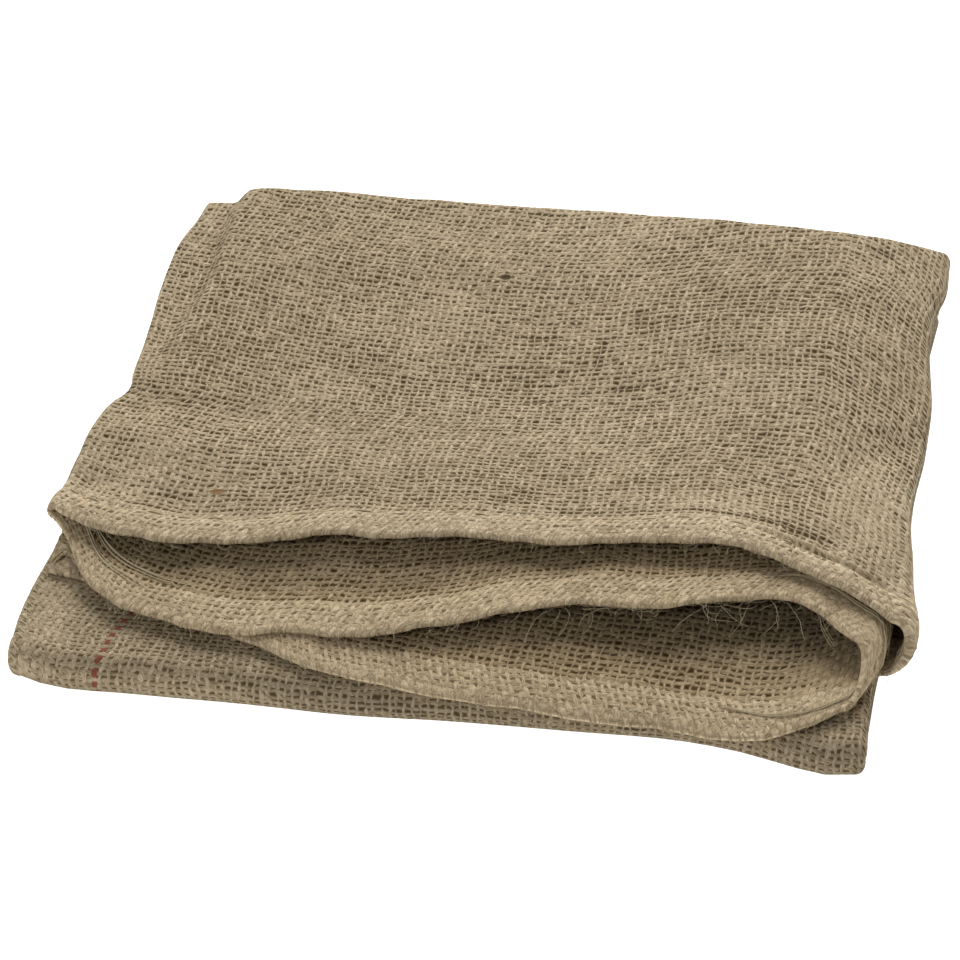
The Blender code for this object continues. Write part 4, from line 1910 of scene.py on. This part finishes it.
    def inner_cast(self, tree: Tree, place: Node, in_hem: Node) -> Node:
        """Tint the inner panel warmer as painted shade, for the light bounced inside the sack, less
        so on its hems.

        Args:
            tree: The node tree.
            place: The place among the yarns, split into across and along.
            in_hem: 1 in the hem's band and 0 elsewhere.

        Returns:
            The node that gives the colour to multiply by.
        """
        inside = add(tree, "Math", place, self.inner_from, operation="GREATER_THAN")
        bare = add(tree, "Math", in_hem, -self.hem_spares, 1.0, operation="MULTIPLY_ADD")
        inside = add(tree, "Math", inside, bare, operation="MULTIPLY")
        # Painted shade: a warm tint for the light bounced inside the sack.
        return add(tree, "MixRGB", inside, WHITE, (*self.inside_cast, 1.0))

    def wear(self, tree: Tree, place: Node, in_hem: Node) -> list[Node]:
        """Lighten the pressed hem, and paint shade on the pocket, the front fold and a band of ply
        b under the top ply's hem.

        Args:
            tree: The node tree.
            place: The place among the yarns, split into across and along.
            in_hem: 1 in the hem's band and 0 elsewhere.

        Returns:
            The nodes that give the shares to multiply by.
        """
        across, along = place.outputs[0], place.outputs[1]
        pressed = add(tree, "MapRange", in_hem, 0.0, 1.0, 1.0, self.hem_lightens)
        # Painted shade in the pocket: none at the mouth, deeper further in, and darkest next to the
        # narrow turn.
        in_pocket = add(tree, "Math", across, self.pocket_from, operation="GREATER_THAN")
        ends = (self.pocket_from, self.pocket_from + self.pocket_turn)
        shades = (self.turn_darkens, self.pocket_darkens)
        darkest = add(tree, "MapRange", across, *ends, *shades)
        darkens = add(tree, "MapRange", along, *self.pocket_mouth, 1.0, darkest)
        pocket = add(tree, "MixRGB", in_pocket, WHITE, darkens)
        # Painted shade on the front fold's right part, and on its rim all along.
        below = add(tree, "MapRange", along, *self.front, 0.0, 1.0)
        right = add(tree, "MapRange", across, *self.front_ends, 0.0, 1.0)
        strip = add(tree, "Math", below, right, operation="MULTIPLY")
        rim = add(tree, "MapRange", along, *self.rim, 0.0, 1.0)
        strip = add(tree, "Math", strip, rim, operation="MAXIMUM")
        # Painted shadow of the top ply's hem: a band across ply b's inner face, 17 to 44 mm from
        # the mouth, fading out to the right.
        start, full, fades, end = self.dust_band
        shadowed = add(tree, "MapRange", along, start, full, 0.0, 1.0)
        fading = add(tree, "MapRange", along, fades, end, 1.0, 0.0)
        inner = add(tree, "Math", across, self.inner_from, operation="GREATER_THAN")
        left = add(tree, "MapRange", across, *self.dust_ends, 1.0, 0.0)
        for part in (fading, inner, left):
            shadowed = add(tree, "Math", shadowed, part, operation="MULTIPLY")
        shares = [pressed, pocket]
        for here, darkens in ((strip, self.front_darkens), (shadowed, self.dust_darkens)):
            shares.append(add(tree, "Math", here, -darkens, 1.0, operation="MULTIPLY_ADD"))
        return shares


@dataclass(frozen=True)
class JuteThread:
    """Spun jute sewing thread and loose fibres: the cloth's own colour, a little lighter.

    Undyed jute, twisted and unpolished, gives the eye a dull strand with fine streaks. Its fibres
    are finer than 0.1 mm, too fine to show, so the streaks' grain is drawn about ten times coarser.
    """

    name: str = "jute_thread"
    colour: str = "b5a589"
    dark: str = "837258"
    grain: float = 1.2
    bump: float = 0.6
    relief: float = 0.2
    roughness: float = 0.9
    gloss: float = 0.2

    def make(self) -> Material:
        """Make the thread's finish, with twisted fibres as fine streaks.

        Returns:
            The material.
        """
        material, tree, shader = new_finish(self.name)
        place = add(tree, "TexCoord")
        scale = 1 / (self.grain * MM)
        noise = add(tree, "TexNoise", place.outputs["Object"], None, scale, 3.0, 0.7)
        finish = add(tree, "MixRGB", noise, linear(self.dark), linear(self.colour))
        coat(tree, shader, finish, noise, (self.bump, self.relief * MM))
        set_inputs(shader, Roughness=self.roughness, Specular_IOR_Level=self.gloss)
        return material


# ------------------------------------------------------------------ studio
@dataclass(frozen=True)
class Studio:
    """A plain pale floor, soft light from above and in front, and the camera."""

    azimuth: float = 12.4
    elevation: float = 34.7
    roll: float = -0.3
    distance: float = 0.843
    aim: tuple[float, float, float] = (0.0150, -0.10905, 0.0697)
    lens: float = 93.75
    floor_size: float = 14.0
    floor_colour: str = "c8c8c6"
    floor_glow: float = 1.0
    room_light: float = 0.22

    # Each light's name, its place in metres, the length of its sides and its power in watts.
    lights: tuple[tuple, ...] = (
        ("key_light", (0.1, 2.9, 1.85), 2.8, 224.0),
        ("left_light", (-1.2, -2.0, 1.4), 0.8, 23.0),
    )

    def camera(self) -> None:
        """Place the camera."""
        a, e, r = (math.radians(angle) for angle in (self.azimuth, self.elevation, self.roll))
        back = Vector((math.sin(a) * math.cos(e), -math.cos(a) * math.cos(e), math.sin(e)))
        right = Vector((math.cos(a), math.sin(a), 0.0))
        up = back.cross(right)
        level = right * math.cos(r) + up * math.sin(r)
        rise = up * math.cos(r) - right * math.sin(r)
        data = bpy.data.cameras.new("camera")
        data.lens = self.lens
        data.clip_start = 0.01
        camera = into_scene("camera", data)
        turned = Matrix((level, rise, back)).transposed().to_4x4()
        camera.matrix_world = Matrix.Translation(Vector(self.aim) + back * self.distance) @ turned
        bpy.context.scene.camera = camera

    def floor(self) -> Piece:
        """Lay the plain pale floor.

        Returns:
            The floor's object.
        """
        mesh = bmesh.new()
        bmesh.ops.create_grid(mesh, x_segments=1, y_segments=1, size=self.floor_size / 2)
        data = bpy.data.meshes.new("floor")
        mesh.to_mesh(data)
        mesh.free()
        material, _, shader = new_finish("floor_paint")
        colours = {"Base_Color": linear(self.floor_colour), "Emission_Color": WHITE}
        set_inputs(shader, Roughness=0.9, Specular_IOR_Level=0.0, **colours)
        set_inputs(shader, Emission_Strength=self.floor_glow)
        data.materials.append(material)
        return into_scene("floor", data)

    @staticmethod
    def light(name: str, place: tuple[float, float, float], size: float, power: float) -> None:
        """Hang a soft square light that looks at the sack.

        Args:
            name: The light's name.
            place: Where it hangs, in metres.
            size: The length of its sides.
            power: Its strength in watts.
        """
        data = bpy.data.lights.new(name, "AREA")
        data.size = size
        data.energy = power
        lamp = into_scene(name, data)
        lamp.location = place
        lamp.rotation_euler = Vector(place).to_track_quat("Z", "Y").to_euler()

    def world(self) -> None:
        """Fill the room with even white light."""
        world = bpy.data.worlds.new("room")
        world.use_nodes = True
        sky = world.node_tree.nodes["Background"]
        set_inputs(sky, Color=WHITE, Strength=self.room_light)
        bpy.context.scene.world = world

    def build(self) -> None:
        """Set up the whole studio."""
        self.camera()
        self.floor()
        self.world()
        for lamp in self.lights:
            self.light(*lamp)
        bpy.context.scene.view_settings.view_transform = "Standard"


def build_sack() -> None:
    """Build the dressed sack and say what each piece is."""
    sack = SackCloth()
    panels = sack.panels()
    seam = float(panels[0].across[-1] - sack.warp_lean * sack.folding.length)
    LOG.info("the panel's far seam lies at %.1f mm", seam)
    spots = {Ply.A: panels[0], Ply.B: panels[1]}
    marks = tuple(
        (*sack.yarns_at(spots[Ply(ply)], Ply(ply), x, y), *sizes) for ply, x, y, *sizes in MARKS
    )
    specks = tuple((*sack.yarns_at(panels[0], Ply.A, x, y), *rest) for x, y, *rest in SPECKS)
    # Where the front fold's painted shade and its rim's grow in.
    fold = sack.front_fold_along(panels[0])
    front, rim = (tuple(float(fold[row]) for row in rows) for rows in (FRONT_SHADE_ROWS, RIM_SHADE_ROWS))
    woven = WovenJute(seam, marks, specks, front, rim, sack.hem_width).make()
    thread = JuteThread().make()
    pale = JuteThread("pale_fibres", "c6b999", "9c8d6f").make()
    cloth = sack.build(panels, woven)
    trims = [Sewing(sack).build(panels, pale), *HemYarns().build(panels, thread)]
    trims += [LongThreads().build(panels, pale), Fuzz().build(panels, pale)]
    for piece in (cloth, *trims):
        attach(piece, "root")
        LOG.info("%s is in place", piece.name)
    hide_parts("sack")


def main() -> None:
    """Load the frame, dress it and set up the studio."""
    logging.basicConfig(level=logging.INFO, format="%(name)s: %(message)s")
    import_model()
    build_sack()
    Studio().build()


if __name__ == "__main__":
    main()
